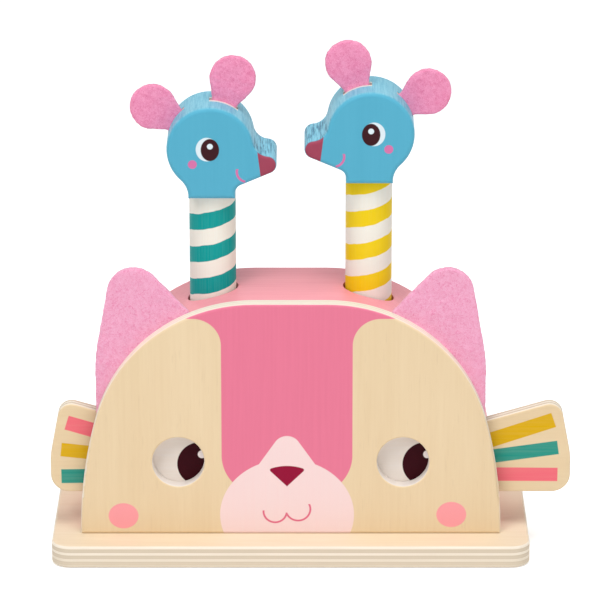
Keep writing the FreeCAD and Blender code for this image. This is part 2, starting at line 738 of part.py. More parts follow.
def head_outline():
    """A mouse head in profile, snout towards +X: round head, hollow brow, snout, jaw, neck, nape."""
    neck = size["rod_diameter"] / 2
    centre = head_centre()
    round_head = size["head_radius"]
    tip = vec(size["snout_reach"] - size["snout_tip_radius"], size["snout_height"])
    brow_radius = size["brow_hollow"]
    brow = circle_touching(centre, round_head, tip, size["snout_tip_radius"], brow_radius)
    brow_on_head = centre + (brow - centre).normalize() * round_head
    brow_on_tip = tip + (brow - tip).normalize() * size["snout_tip_radius"]
    brow_middle = brow + ((brow_on_head + brow_on_tip) * 0.5 - brow).normalize() * brow_radius
    jaw_start, jaw_corner = jaw_line(tip, neck)
    corner = rounded_corner(jaw_start, jaw_corner, vec(neck, 0), size["neck_corner"])
    nape_radius = size["nape_hollow"]
    nape = nape_centre(centre, round_head, neck, nape_radius)
    nape_on_head = centre + (nape - centre).normalize() * round_head
    nape_on_neck = vec(-neck, nape.y)
    nape_middle = nape + ((nape_on_head + nape_on_neck) * 0.5 - nape).normalize() * nape_radius
    back_of_head = centre + from_top(-size["outer_ear_angle"]) * round_head
    tip_middle = tip + vec(size["snout_tip_radius"], 0)
    return [("arc", brow_on_head, brow_middle, brow_on_tip),
            ("arc", brow_on_tip, tip_middle, jaw_start),
            ("line", jaw_start, corner[0]),
            ("arc", corner[0], corner[1], corner[2]),
            ("line", corner[2], vec(neck, 0)),
            ("line", vec(neck, 0), vec(-neck, 0)),
            ("line", vec(-neck, 0), nape_on_neck),
            ("arc", nape_on_neck, nape_middle, nape_on_head),
            ("arc", nape_on_head, back_of_head, brow_on_head)]


def circle_touching(first, first_radius, second, second_radius, radius):
    """Centre of a circle that touches two circles from outside, above the line between them."""
    reach_first = first_radius + radius
    reach_second = second_radius + radius
    across = second - first
    apart = across.Length
    along = (reach_first ** 2 - reach_second ** 2 + apart ** 2) / (2 * apart)
    off = math.sqrt(reach_first ** 2 - along ** 2)
    unit = across / apart
    return first + unit * along + vec(-unit.y, unit.x) * off


def jaw_line(tip, neck):
    """Where the jaw leaves the snout tip, and where its line meets the neck's front."""
    slope = math.radians(size["jaw_slope"])
    down = vec(math.sin(slope), -math.cos(slope))
    start = tip + down * size["snout_tip_radius"]
    drop = (start.x - neck) * math.tan(slope)
    return start, vec(neck, start.y - drop)


def nape_centre(centre, round_head, neck, radius):
    """Centre of the hollow that touches the round head and the neck's back line."""
    across = -neck - radius - centre.x
    down = math.sqrt((round_head + radius) ** 2 - across ** 2)
    return vec(-neck - radius, centre.y - down)


def mouse_ear_outline(angle, reach):
    """A disc that narrows to a root in the head's slot. The angle leans from upright to the snout."""
    along = from_top(angle)
    across = vec(along.y, -along.x)
    centre = head_centre() + along * reach
    half_root = size["mouse_ear_root"] / 2
    seat = size["head_radius"] - size["mouse_ear_seat"]
    surface = head_centre() + along * size["head_radius"]
    root = head_centre() + along * seat
    radius = size["mouse_ear_radius"]
    to_corner = surface + across * half_root - centre
    lean = math.acos(radius / to_corner.Length)
    base_angle = math.atan2(to_corner.dot(across), -to_corner.dot(along))
    touch = base_angle + lean
    right_touch = centre + (across * math.sin(touch) - along * math.cos(touch)) * radius
    left_touch = centre + (across * -math.sin(touch) - along * math.cos(touch)) * radius
    return [("line", root - across * half_root, root + across * half_root),
            ("line", root + across * half_root, surface + across * half_root),
            ("line", surface + across * half_root, right_touch),
            ("arc", right_touch, centre + along * radius, left_touch),
            ("line", left_touch, surface - across * half_root),
            ("line", surface - across * half_root, root - across * half_root)]


def ear_kerf(angle):
    """The saw slot for an ear, open at the head's surface."""
    along = from_top(angle)
    across = vec(along.y, -along.x)
    half = size["mouse_ear_root"] / 2 + size["ear_kerf_play"]
    bottom = head_centre() + along * (size["head_radius"] - size["mouse_ear_seat"])
    top = head_centre() + along * (size["head_radius"] + 2 * size["ear_kerf_play"])
    corners = [bottom - across * half, bottom + across * half, top + across * half, top - across * half]
    return rounded_loop([(corner.x, corner.y, 0) for corner in corners])


def facing(edges, side):
    """The mice look at each other: the right one is the mirror image of the left one."""
    return mirrored(edges) if side > 0 else edges


def mouse_head(name, side):
    body = new_body(name)
    pad(body, "XZ_Plane", "-(head_thickness / 2)", [facing(head_outline(), side)], "head_thickness")
    half = size["head_thickness"] / 2
    round_edges(body, "head_edge_round", edges_at("y", -half, half))
    kerfs = [facing(ear_kerf(angle), side) for angle in ear_angles()]
    pocket(body, "XZ_Plane", "0", kerfs, "felt_thickness + 2 * felt_clearance", both_ways=True)
    bore = circle(0, 0, size["dowel_diameter"] / 2 + size["glue_gap"])
    pocket(body, "XY_Plane", "0", [bore], "dowel_depth + glue_gap", reverse=True)
    place(body, side, neck_z(side))


def ear_angles():
    return size["inner_ear_angle"], -size["outer_ear_angle"]


def mouse_ear(name, side, angle, reach):
    body = new_body(name)
    outline = facing(mouse_ear_outline(angle, reach), side)
    pad(body, "XZ_Plane", "-(felt_thickness / 2)", [outline], "felt_thickness")
    place(body, side, neck_z(side))


def mouse(word, side):
    mouse_rod(word + "_rod", side)
    rod_pin(word + "_rod_pin", side)
    neck_dowel(word + "_neck_dowel", side)
    mouse_head(word + "_mouse_head", side)
    inner, outer = ear_angles()
    mouse_ear(word + "_mouse_inner_ear", side, inner, size["inner_ear_reach"])
    mouse_ear(word + "_mouse_outer_ear", side, outer, size["outer_ear_reach"])


def write_parts():
    """Checks every object and writes each piece to its own file."""
    doc.recompute()
    for item in doc.Objects:
        if "Invalid" in item.State or "Error" in item.State:
            raise RuntimeError(item.Label + " failed: " + str(item.State))
    for piece in nodes:
        if piece.Shape.isNull() or not piece.Shape.isValid():
            raise RuntimeError(piece.Label + " has no valid shape")
    os.makedirs("parts", exist_ok=True)
    for piece in nodes:
        piece.Shape.exportStep("parts/" + piece.Label + ".step")
        print(piece.Label, round(piece.Shape.Volume, 1), len(piece.Shape.Solids))


base_plate()
base_screws()
front_panel()
back_panel()
dome_shell()
cat_ear("left_cat_ear", -1)
cat_ear("right_cat_ear", 1)
eye_slider()
eye_board()
guides()
rear_cleat()
slider_keeper()
axle_and_spacers()
rocker_beam()
mouse("left", -1)
mouse("right", 1)
write_parts()
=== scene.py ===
import math

import bpy
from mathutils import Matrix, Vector


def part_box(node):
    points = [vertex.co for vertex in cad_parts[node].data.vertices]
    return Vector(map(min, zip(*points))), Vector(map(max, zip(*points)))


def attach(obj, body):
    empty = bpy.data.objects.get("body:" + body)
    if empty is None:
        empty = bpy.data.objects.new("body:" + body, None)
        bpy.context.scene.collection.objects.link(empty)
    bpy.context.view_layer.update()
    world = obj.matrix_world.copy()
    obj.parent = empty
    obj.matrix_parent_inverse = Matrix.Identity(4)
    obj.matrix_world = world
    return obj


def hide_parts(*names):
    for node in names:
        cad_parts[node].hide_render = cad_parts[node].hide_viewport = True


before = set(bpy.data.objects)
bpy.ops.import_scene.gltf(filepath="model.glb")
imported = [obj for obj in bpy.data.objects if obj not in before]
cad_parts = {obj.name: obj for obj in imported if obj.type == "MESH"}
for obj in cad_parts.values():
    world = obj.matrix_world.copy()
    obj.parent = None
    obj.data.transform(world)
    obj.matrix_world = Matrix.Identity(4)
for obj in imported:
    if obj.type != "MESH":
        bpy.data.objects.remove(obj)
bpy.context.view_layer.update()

# Looks of a wooden pop-up toy: printed plywood, painted shell, striped rods, blue heads and felt ears.
# Object coordinates are metres in the toy's own frame. The prints are laid out in millimetres.

MM = 0.001


def srgb(red, green, blue):
    """A colour given as 0 to 255 on a screen, as the linear colour that the shaders use."""
    def linear(level):
        share = level / 255
        return share / 12.92 if share <= 0.04045 else ((share + 0.055) / 1.055) ** 2.4
    return linear(red), linear(green), linear(blue), 1.0


# Colours of the toy.

BIRCH_LIGHT = srgb(238, 215, 178)
BIRCH_DARK = srgb(226, 198, 156)
PLY_LIGHT = srgb(247, 236, 219)
PLY_DARK = srgb(220, 205, 182)
BASE_LIGHT = srgb(240, 222, 196)
BASE_DARK = srgb(228, 205, 172)
GLUE_LINE = srgb(186, 156, 120)
BEECH_LIGHT = srgb(222, 186, 148)
BEECH_DARK = srgb(196, 154, 114)
BLAZE_PINK = srgb(235, 126, 154)
MUZZLE_PINK = srgb(248, 221, 219)
NOSE_RED = srgb(148, 12, 54)
MOUTH_PINK = srgb(228, 112, 138)
CHEEK_PINK = srgb(252, 162, 168)
SHELL_PINK = srgb(250, 161, 171)
SHELL_SHADE = srgb(230, 138, 150)
EYE_WHITE = srgb(222, 236, 242)
BOARD_WHITE = srgb(238, 229, 221)
GLINT_WHITE = srgb(255, 246, 244)
PUPIL_BROWN = srgb(54, 8, 18)
MOUSE_BLUE = srgb(88, 176, 204)
MOUSE_BLUE_DARK = srgb(74, 160, 190)
MOUSE_BLUE_PALE = srgb(152, 214, 230)
MOUSE_BLUE_DEEP = srgb(44, 108, 140)
MOUSE_NOSE = srgb(158, 66, 88)
MOUSE_PINK = srgb(214, 116, 168)
ROD_CREAM = srgb(247, 245, 234)
ROD_TEAL = srgb(0, 160, 156)
ROD_YELLOW = srgb(246, 212, 12)
FIN_PINK = srgb(244, 112, 126)
FIN_MUSTARD = srgb(222, 174, 0)
FIN_TEAL = srgb(36, 150, 136)
FELT_PINK = srgb(255, 186, 216)
FELT_SPECKLE = srgb(238, 120, 168)
ROSE_FELT = srgb(255, 164, 202)
ROSE_FELT_SPECKLE = srgb(230, 96, 148)
ZINC_BRIGHT = srgb(188, 190, 194)
ZINC_DULL = srgb(150, 152, 158)


# Building blocks for node trees.

# Sockets of the Mix node when it mixes colours.
MIX_SHARE = 0
MIX_FIRST = 6
MIX_SECOND = 7
MIX_RESULT = 2

# Width of the soft border of a print, in millimetres on each side of its outline.
PRINT_SOFTNESS = 0.12


def add_node(tree, kind, **settings):
    """A new node in the tree, with its settings."""
    new = tree.nodes.new(kind)
    for name, value in settings.items():
        setattr(new, name, value)
    return new


def feed(tree, socket, value):
    """Links the value to a socket, or sets it there where it is a plain number or colour."""
    if isinstance(value, bpy.types.NodeSocket):
        tree.links.new(value, socket)
    else:
        socket.default_value = value


def sums(tree, operation, *values):
    """A Math node over the values."""
    new = add_node(tree, "ShaderNodeMath", operation=operation)
    for socket, value in zip(new.inputs, values):
        feed(tree, socket, value)
    return new.outputs[0]


def reach(tree, across, up):
    """How far a point is from nought, from its distances across and up."""
    squares = sums(tree, "ADD", sums(tree, "MULTIPLY", across, across), sums(tree, "MULTIPLY", up, up))
    return sums(tree, "SQRT", squares)


def from_to(tree, value, low, high, new_low=0.0, new_high=1.0):
    """The value mapped from one range onto another, held at its ends."""
    new = add_node(tree, "ShaderNodeMapRange")
    for socket, number in zip(new.inputs, (value, low, high, new_low, new_high)):
        feed(tree, socket, number)
    return new.outputs[0]


def print_mask(tree, outside):
    """1 inside a print and 0 outside. The value given is the distance beyond the print's outline."""
    return from_to(tree, outside, PRINT_SOFTNESS, -PRINT_SOFTNESS)


def lay_over(tree, colour, over, mask, strength=1.0):
    """A colour with another laid over it where the mask is 1, at full or part strength."""
    share = mask if strength == 1.0 else sums(tree, "MULTIPLY", mask, strength)
    new = add_node(tree, "ShaderNodeMix", data_type="RGBA")
    feed(tree, new.inputs[MIX_SHARE], share)
    feed(tree, new.inputs[MIX_FIRST], colour)
    feed(tree, new.inputs[MIX_SECOND], over)
    return new.outputs[MIX_RESULT]


def noise_at(tree, place, scale, detail, roughness=0.5, distortion=0.0):
    """Noise with so many cells to a metre."""
    new = add_node(tree, "ShaderNodeTexNoise")
    feed(tree, new.inputs["Vector"], place)
    feed(tree, new.inputs["Scale"], scale)
    feed(tree, new.inputs["Detail"], detail)
    feed(tree, new.inputs["Roughness"], roughness)
    feed(tree, new.inputs["Distortion"], distortion)
    return new.outputs[0]


def split(tree, vector):
    """The X, Y and Z of a vector, by number or by name."""
    new = add_node(tree, "ShaderNodeSeparateXYZ")
    feed(tree, new.inputs[0], vector)
    return new.outputs


def scaled(tree, vector, factor):
    """A vector made longer by a factor."""
    new = add_node(tree, "ShaderNodeVectorMath", operation="SCALE")
    feed(tree, new.inputs[0], vector)
    feed(tree, new.inputs["Scale"], factor)
    return new.outputs[0]


def stretched(tree, vector, scale=(1, 1, 1), turn=(0, 0, 0)):
    """A place scaled along each axis and turned, which stretches and turns the pattern on it."""
    new = add_node(tree, "ShaderNodeMapping")
    feed(tree, new.inputs["Vector"], vector)
    feed(tree, new.inputs["Scale"], scale)
    feed(tree, new.inputs["Rotation"], turn)
    return new.outputs[0]


def new_group(name, inputs, outputs):
    """A shader node group with named sockets. Inputs are (name, kind, starting value)."""
    group = bpy.data.node_groups.new(name, "ShaderNodeTree")
    for label, kind, value in inputs:
        socket = group.interface.new_socket(label, in_out="INPUT", socket_type="NodeSocket" + kind)
        if value is not None:
            socket.default_value = value
    for label, kind in outputs:
        group.interface.new_socket(label, in_out="OUTPUT", socket_type="NodeSocket" + kind)
    return group, group.nodes.new("NodeGroupInput").outputs, group.nodes.new("NodeGroupOutput").inputs


def use_group(tree, group, **values):
    """Places a group. A keyword is a socket's name, with underscores for its spaces."""
    new = add_node(tree, "ShaderNodeGroup", node_tree=group)
    for name, value in values.items():
        feed(tree, new.inputs[name.replace("_", " ").capitalize()], value)
    return new.outputs


# Noise patterns, with their cells to a metre.

WOOD_FIGURE = {"scale": 70.0, "detail": 4.0, "roughness": 0.55, "distortion": 0.6}
WOOD_FIBRE = {"scale": 900.0, "detail": 3.0, "roughness": 0.6}
WOOD_PORES = {"scale": 1500.0, "detail": 1.0, "roughness": 0.4}
END_GRAIN = {"scale": 1300.0, "detail": 3.0, "roughness": 0.6}
BAND_WANDER = {"scale": 160.0, "detail": 2.0}
FELT_TANGLE = {"scale": 1500.0, "detail": 5.0, "roughness": 0.8, "distortion": 1.2}
FELT_CLUMPS = {"scale": 420.0, "detail": 3.0, "roughness": 0.6, "distortion": 0.6}
ZINC_BLOOM = {"scale": 900.0, "detail": 4.0, "roughness": 0.6}

# The range in which most of a noise's values lie.
NOISE_RANGE = (0.3, 0.7)

# How wood patterns are drawn out along Z, and end grain along Y and Z.
FIGURE_STRETCH = (1, 1, 0.12)
FIBRE_STRETCH = (1, 1, 0.03)
PORE_STRETCH = (1, 1, 0.07)
END_GRAIN_STRETCH = (1, 0.06, 0.5)

# Noise that makes a pore, from its first trace to full.
PORE_RANGE = (0.66, 0.74)

# A glue line's place in a layer, as shares of the layer's thickness from its middle.
GLUE_LINE_RANGE = (0.40, 0.48)

# How squarely a surface faces sideways where its rounding starts and is full, next to face and side.
ROUNDING_AT_FACE = (0.97, 0.85)
ROUNDING_AT_SIDE = (0.12, 0.35)

# How much of the felt's height is fine tangle, and the heights at which its speckle starts and is full.
TANGLE_SHARE = 0.8
SPECKLE_RANGE = (0.44, 0.66)

# A distance in millimetres that is past every print.
PAST_ALL = 100.0


# Shared effects.

def make_wood_grain():
    """Streaks along Z, with broad figure, fine fibre and short dark pores."""
    group, given, result = new_group(
        "Wood grain",
        [("Vector", "Vector", None), ("Fineness", "Float", 1.0)],
        [("Figure", "Float"), ("Fibre", "Float"), ("Pores", "Float")])
    place = scaled(group, given["Vector"], given["Fineness"])
    figure = noise_at(group, stretched(group, place, FIGURE_STRETCH), **WOOD_FIGURE)
    fibre = noise_at(group, stretched(group, place, FIBRE_STRETCH), **WOOD_FIBRE)
    pores = noise_at(group, stretched(group, place, PORE_STRETCH), **WOOD_PORES)
    feed(group, result["Figure"], from_to(group, figure, *NOISE_RANGE))
    feed(group, result["Fibre"], from_to(group, fibre, *NOISE_RANGE))
    feed(group, result["Pores"], from_to(group, pores, *PORE_RANGE))
    return group


def make_ply_layers():
    """Alternating layers of plywood with thin glue lines. Depth runs from 0 to Thickness."""
    group, given, result = new_group(
        "Ply layers",
        [("Depth", "Float", 0.0), ("Thickness", "Float", 6.0), ("Layers", "Float", 5.0)],
        [("Dark layer", "Float"), ("Glue line", "Float")])
    share = sums(group, "DIVIDE", given["Depth"], given["Thickness"])
    layer = sums(group, "MULTIPLY", share, given["Layers"])
    every_other = sums(group, "MODULO", sums(group, "FLOOR", layer), 2.0)
    within = sums(group, "FRACT", layer)
    off_middle = sums(group, "ABSOLUTE", sums(group, "SUBTRACT", within, 0.5))
    feed(group, result["Dark layer"], sums(group, "ABSOLUTE", every_other))
    feed(group, result["Glue line"], from_to(group, off_middle, *GLUE_LINE_RANGE))
    return group


def make_rounded_edge():
    """Where the surface turns between a flat face and its edge: 1 on the rounding, 0 on both."""
    group, given, result = new_group("Rounded edge", [("Facing", "Float", 1.0)], [("Mask", "Float")])
    facing = sums(group, "ABSOLUTE", given["Facing"])
    off_face = from_to(group, facing, *ROUNDING_AT_FACE)
    off_side = from_to(group, facing, *ROUNDING_AT_SIDE)
    feed(group, result["Mask"], sums(group, "MULTIPLY", off_face, off_side))
    return group


def make_spot():
    """A soft-edged ellipse."""
    group, given, result = new_group(
        "Painted spot",
        [("Across", "Float", 0.0), ("Up", "Float", 0.0), ("Middle across", "Float", 0.0),
         ("Middle up", "Float", 0.0), ("Half width", "Float", 1.0), ("Half height", "Float", 1.0)],
        [("Mask", "Float")])
    across = sums(group, "DIVIDE", sums(group, "SUBTRACT", given["Across"], given["Middle across"]),
                  given["Half width"])
    up = sums(group, "DIVIDE", sums(group, "SUBTRACT", given["Up"], given["Middle up"]),
              given["Half height"])
    beyond = sums(group, "SUBTRACT", reach(group, across, up), 1.0)
    feed(group, result["Mask"], print_mask(group, sums(group, "MULTIPLY", beyond, given["Half width"])))
    return group


def make_round_corner():
    """Distance outside a corner whose two sides are rounded into each other."""
    group, given, result = new_group(
        "Round corner",
        [("Across", "Float", 0.0), ("Up", "Float", 0.0), ("Radius", "Float", 1.0)],
        [("Distance", "Float")])
    across = sums(group, "MAXIMUM", given["Across"], 0.0)
    up = sums(group, "MAXIMUM", given["Up"], 0.0)
    feed(group, result["Distance"], sums(group, "SUBTRACT", reach(group, across, up), given["Radius"]))
    return group


def make_painted_line():
    """Part of a circle drawn as a line, below one height and between two sides."""
    group, given, result = new_group(
        "Painted line",
        [("Across", "Float", 0.0), ("Up", "Float", 0.0), ("Middle across", "Float", 0.0),
         ("Middle up", "Float", 0.0), ("Radius", "Float", 1.0), ("Half width", "Float", 0.4),
         ("Top", "Float", 0.0), ("Left", "Float", -PAST_ALL), ("Right", "Float", PAST_ALL)],
        [("Mask", "Float")])
    across = sums(group, "SUBTRACT", given["Across"], given["Middle across"])
    up = sums(group, "SUBTRACT", given["Up"], given["Middle up"])
    off_line = sums(group, "ABSOLUTE", sums(group, "SUBTRACT", reach(group, across, up), given["Radius"]))
    outside = sums(group, "SUBTRACT", off_line, given["Half width"])
    for value, limit in (("Up", "Top"), ("Across", "Right")):
        outside = sums(group, "MAXIMUM", outside, sums(group, "SUBTRACT", given[value], given[limit]))
    outside = sums(group, "MAXIMUM", outside, sums(group, "SUBTRACT", given["Left"], given["Across"]))
    feed(group, result["Mask"], print_mask(group, outside))
    return group


def make_painted_band():
    """A straight stripe from a start to an end, with its own half width."""
    group, given, result = new_group(
        "Painted band",
        [("Across", "Float", 0.0), ("Up", "Float", 0.0), ("Start across", "Float", 0.0),
         ("Start up", "Float", 0.0), ("End across", "Float", 1.0), ("End up", "Float", 0.0),
         ("Half width", "Float", 1.0)],
        [("Mask", "Float")])
    run = sums(group, "SUBTRACT", given["End across"], given["Start across"])
    rise = sums(group, "SUBTRACT", given["End up"], given["Start up"])
    length = reach(group, run, rise)
    across = sums(group, "SUBTRACT", given["Across"], given["Start across"])
    up = sums(group, "SUBTRACT", given["Up"], given["Start up"])
    along = sums(group, "DIVIDE", sums(group, "ADD", sums(group, "MULTIPLY", across, run),
                                       sums(group, "MULTIPLY", up, rise)), length)
    aside = sums(group, "DIVIDE", sums(group, "SUBTRACT", sums(group, "MULTIPLY", up, run),
                                       sums(group, "MULTIPLY", across, rise)), length)
    outside = sums(group, "SUBTRACT", sums(group, "ABSOLUTE", aside), given["Half width"])
    outside = sums(group, "MAXIMUM", outside, sums(group, "MULTIPLY", along, -1.0))
    outside = sums(group, "MAXIMUM", outside, sums(group, "SUBTRACT", along, length))
    feed(group, result["Mask"], print_mask(group, outside))
    return group


def make_felt_fibres():
    """Matted fibres: a speckle for colour and a rough height."""
    group, given, result = new_group("Felt fibres", [("Vector", "Vector", None)],
                                     [("Speckle", "Float"), ("Height", "Float")])
    tangle = noise_at(group, given["Vector"], **FELT_TANGLE)
    clumps = noise_at(group, given["Vector"], **FELT_CLUMPS)
    mixed = sums(group, "ADD", sums(group, "MULTIPLY", tangle, TANGLE_SHARE),
                 sums(group, "MULTIPLY", clumps, 1 - TANGLE_SHARE))
    feed(group, result["Speckle"], from_to(group, mixed, *SPECKLE_RANGE))
    feed(group, result["Height"], mixed)
    return group


GRAIN_GROUP = make_wood_grain()
PLY_LAYERS = make_ply_layers()
ROUNDED_EDGE = make_rounded_edge()
SPOT = make_spot()
ROUND_CORNER = make_round_corner()
PAINTED_LINE = make_painted_line()
PAINTED_BAND = make_painted_band()
FELT_FIBRES = make_felt_fibres()


# What the materials are made of.

SATIN_SHEEN = 0.22
GRAIN_BUMP = 0.03 * MM
GRAIN_ALONG_X = (0, math.radians(90), 0)
GRAIN_ALONG_Y = (math.radians(90), 0, 0)
GRAIN_ALONG_Z = (0, 0, 0)

# How strongly figure, fibre and pores tint bare wood.
FIGURE_TINT = 0.35
FIBRE_TINT = 0.20
PORE_TINT = 0.08


def new_material(name, sheen=SATIN_SHEEN):
    """A material, its tree and its shader."""
    material = bpy.data.materials.new(name)
    material.use_nodes = True
    tree = material.node_tree
    tree.nodes.clear()
    shader = add_node(tree, "ShaderNodeBsdfPrincipled")
    output = add_node(tree, "ShaderNodeOutputMaterial")
    tree.links.new(shader.outputs[0], output.inputs[0])
    shader.inputs["Specular IOR Level"].default_value = sheen
    return material, tree, shader


def place_on_piece(tree):
    """The place on the piece, in metres in the toy's frame."""
    return add_node(tree, "ShaderNodeTexCoord").outputs["Object"]


def place_in_mm(tree):
    """X, Y and Z of the place on the piece, in millimetres."""
    return split(tree, scaled(tree, place_on_piece(tree), 1 / MM))


def facing_parts(tree):
    """X, Y and Z of the surface's direction, in the piece's own frame."""
    return split(tree, add_node(tree, "ShaderNodeTexCoord").outputs["Normal"])


def wood_grain(tree, turn, fineness=1.0):
    """Figure, fibre and pores of wood, with the streaks turned from Z."""
    place = stretched(tree, place_on_piece(tree), turn=turn)
    return use_group(tree, GRAIN_GROUP, vector=place, fineness=fineness)


def raise_surface(tree, shader, height, distance):
    """A bump that raises the surface by a distance in metres where the height is 1."""
    bump = add_node(tree, "ShaderNodeBump")
    bump.inputs["Distance"].default_value = distance
    bump.inputs["Strength"].default_value = 1.0
    feed(tree, bump.inputs["Height"], height)
    feed(tree, shader.inputs["Normal"], bump.outputs[0])


def finish_wood(tree, shader, colour, fibre, smooth, rough, relief=None):
    """Gives wood its colour, a roughness that follows the fibre, and the fibre's relief or another."""
    feed(tree, shader.inputs["Base Color"], colour)
    feed(tree, shader.inputs["Roughness"], from_to(tree, fibre, 0, 1, smooth, rough))
    raise_surface(tree, shader, fibre if relief is None else relief, GRAIN_BUMP)


def add_coat(shader, weight, roughness):
    """A thin clear coat over the paint."""
    shader.inputs["Coat Weight"].default_value = weight
    shader.inputs["Coat Roughness"].default_value = roughness


def birch_colour(tree, grain, light=BIRCH_LIGHT, dark=BIRCH_DARK):
    """Bare wood between two colours, with darker pores."""
    tone = sums(tree, "ADD", sums(tree, "MULTIPLY", grain["Figure"], FIGURE_TINT),
                sums(tree, "MULTIPLY", grain["Fibre"], FIBRE_TINT))
    return lay_over(tree, lay_over(tree, light, dark, tone), GLUE_LINE, grain["Pores"], PORE_TINT)


def layered_edge(tree, depth, thickness, layers, dark=1.0, glue=0.5):
    """The colour of a plywood edge, with its dark layers and its glue lines as strong as asked."""
    plies = use_group(tree, PLY_LAYERS, depth=depth, thickness=thickness, layers=layers)
    edge = lay_over(tree, PLY_LIGHT, PLY_DARK, plies["Dark layer"], dark)
    return lay_over(tree, edge, GLUE_LINE, plies["Glue line"], glue)


def round_spot(tree, across, up, middle_across, middle_up, radius):
    """The mask of a round spot."""
    return use_group(tree, SPOT, across=across, up=up, middle_across=middle_across, middle_up=middle_up,
                     half_width=radius, half_height=radius)["Mask"]


# Plain woods and paints.

# The axis along which a standing board and a lying board are thin.
STANDING = 1
LYING = 2

# How squarely a surface faces along a board's thickness, from edge to face.
BOARD_FACE_RANGE = (0.80, 0.90)

# How strongly the fibre tints a board's edge, and the grain a coat of paint.
EDGE_FIBRE_TINT = 0.25
PAINT_GRAIN_TINT = 0.28

# Painted shade at the foot of the base's edge, darker towards the floor: its strength, and the height in
# millimetres where it ends.
BASE_FOOT_PAINTED_SHADE = 0.7
PAINTED_SHADE_TOP = 6.0

# How much paler the paint is where it is thin, on the rounded edges.
THIN_PAINT = 0.22

ZINC_ROUGHNESS = (0.28, 0.45)


def plywood(name, thin_axis, low, high, layers, painted_foot_shade=0.0, light=BIRCH_LIGHT, dark=BIRCH_DARK):
    """Bare plywood: grain on the faces, layers and glue lines on the edges, and painted shade at the foot of
    its edge if asked.
    """
    material, tree, shader = new_material(name)
    grain = wood_grain(tree, GRAIN_ALONG_X)
    depth = sums(tree, "SUBTRACT", place_in_mm(tree)[thin_axis], low / MM)
    edge = layered_edge(tree, depth, (high - low) / MM, layers, glue=0.55)
    edge = lay_over(tree, edge, PLY_DARK, grain["Fibre"], EDGE_FIBRE_TINT)
    # Painted shade: the edge is darkened towards the floor, up to the given height.
    edge = lay_over(tree, edge, PLY_DARK, from_to(tree, depth, PAINTED_SHADE_TOP, 0, 0, painted_foot_shade))
    on_face = from_to(tree, sums(tree, "ABSOLUTE", facing_parts(tree)[thin_axis]), *BOARD_FACE_RANGE)
    colour = lay_over(tree, edge, birch_colour(tree, grain, light, dark), on_face)
    finish_wood(tree, shader, colour, grain["Fibre"], smooth=0.46, rough=0.62)
    return material


def beech_dowel(name, turn):
    """Bare beech, with its grain turned along the dowel."""
    material, tree, shader = new_material(name)
    grain = wood_grain(tree, turn, fineness=1.4)
    colour = birch_colour(tree, grain, BEECH_LIGHT, BEECH_DARK)
    finish_wood(tree, shader, colour, grain["Fibre"], smooth=0.48, rough=0.66)
    return material


def shell_paint():
    """Satin paint through which the wood's fibre just shows, thinner on the rounded edges."""
    material, tree, shader = new_material("Pink shell paint")
    grain = wood_grain(tree, GRAIN_ALONG_X)
    tone = sums(tree, "ADD", grain["Figure"], grain["Fibre"])
    painted = lay_over(tree, SHELL_PINK, SHELL_SHADE, tone, PAINT_GRAIN_TINT)
    thin = use_group(tree, ROUNDED_EDGE, facing=facing_parts(tree)["Y"])["Mask"]
    painted = lay_over(tree, painted, MUZZLE_PINK, thin, THIN_PAINT)
    finish_wood(tree, shader, painted, grain["Fibre"], smooth=0.36, rough=0.48)
    add_coat(shader, weight=0.05, roughness=0.25)
    return material


def zinc_steel():
    """Zinc plate with a dull bloom."""
    material, tree, shader = new_material("Zinc plated steel")
    bloom = noise_at(tree, place_on_piece(tree), **ZINC_BLOOM)
    feed(tree, shader.inputs["Base Color"], lay_over(tree, ZINC_BRIGHT, ZINC_DULL, bloom))
    feed(tree, shader.inputs["Metallic"], 1.0)
    feed(tree, shader.inputs["Roughness"], from_to(tree, bloom, *NOISE_RANGE, *ZINC_ROUGHNESS))
    raise_surface(tree, shader, bloom, GRAIN_BUMP)
    return material


# The cat's face, in millimetres on the front panel.

# Measured across from the middle of the print, which lies a little to the left.
PRINT_MIDDLE = -1.6
BLAZE_HALF_WIDTH = 28.1
PATCH_TOP = 108.0
PATCH_CORNER = 12.0
BLAZE_FOOT = 46.0
BLAZE_FOOT_CORNER = 18.3
MUZZLE_MIDDLE_UP = 18.8
MUZZLE_HALF_WIDTH = 28.9
MUZZLE_HALF_HEIGHT = 25.6
MUZZLE_PEAK = 55.0
MUZZLE_PEAK_ROUND = 6.0
MUZZLE_SIDE_ANGLE = math.radians(34.6)
NOSE_TIP = 31.9
NOSE_TOP = 41.3
NOSE_TOP_ARC = 21.0
NOSE_SIDE_ANGLE = math.radians(44.3)
NOSE_CORNER = 1.3
MOUTH_HALF_WIDTH = 0.42
MOUTH_PEAK_UP = 19.8
MOUTH_PEAK_HALF_WIDTH = 1.0
MOUTH_PARTING = -0.05
MOUTH_LINES = [
    {"middle_across": -5.15, "middle_up": 20.3, "radius": 5.0, "top": 20.8, "right": MOUTH_PARTING},
    {"middle_across": 4.75, "middle_up": 21.4, "radius": 5.3, "top": 23.7, "left": MOUTH_PARTING},
]

# Measured across from the middle of the toy.
CHEEKS = [(-72.2, 18.3), (69.3, 18.9)]
CHEEK_HALF_WIDTH = 6.45
CHEEK_HALF_HEIGHT = 5.8
EYE_HOLE_SPACING = 96.6
EYE_HOLE_UP = 43.0
EYE_HOLE_REACH = 12.2

# How strongly the fibre tints the ink.
INK_GRAIN_TINT = 0.04

# Layers of the panel and of the slider, and how squarely their faces face, from edge to face.
PANEL_LAYERS = 5.0
PRINT_FACE_RANGE = (0.45, 0.75)


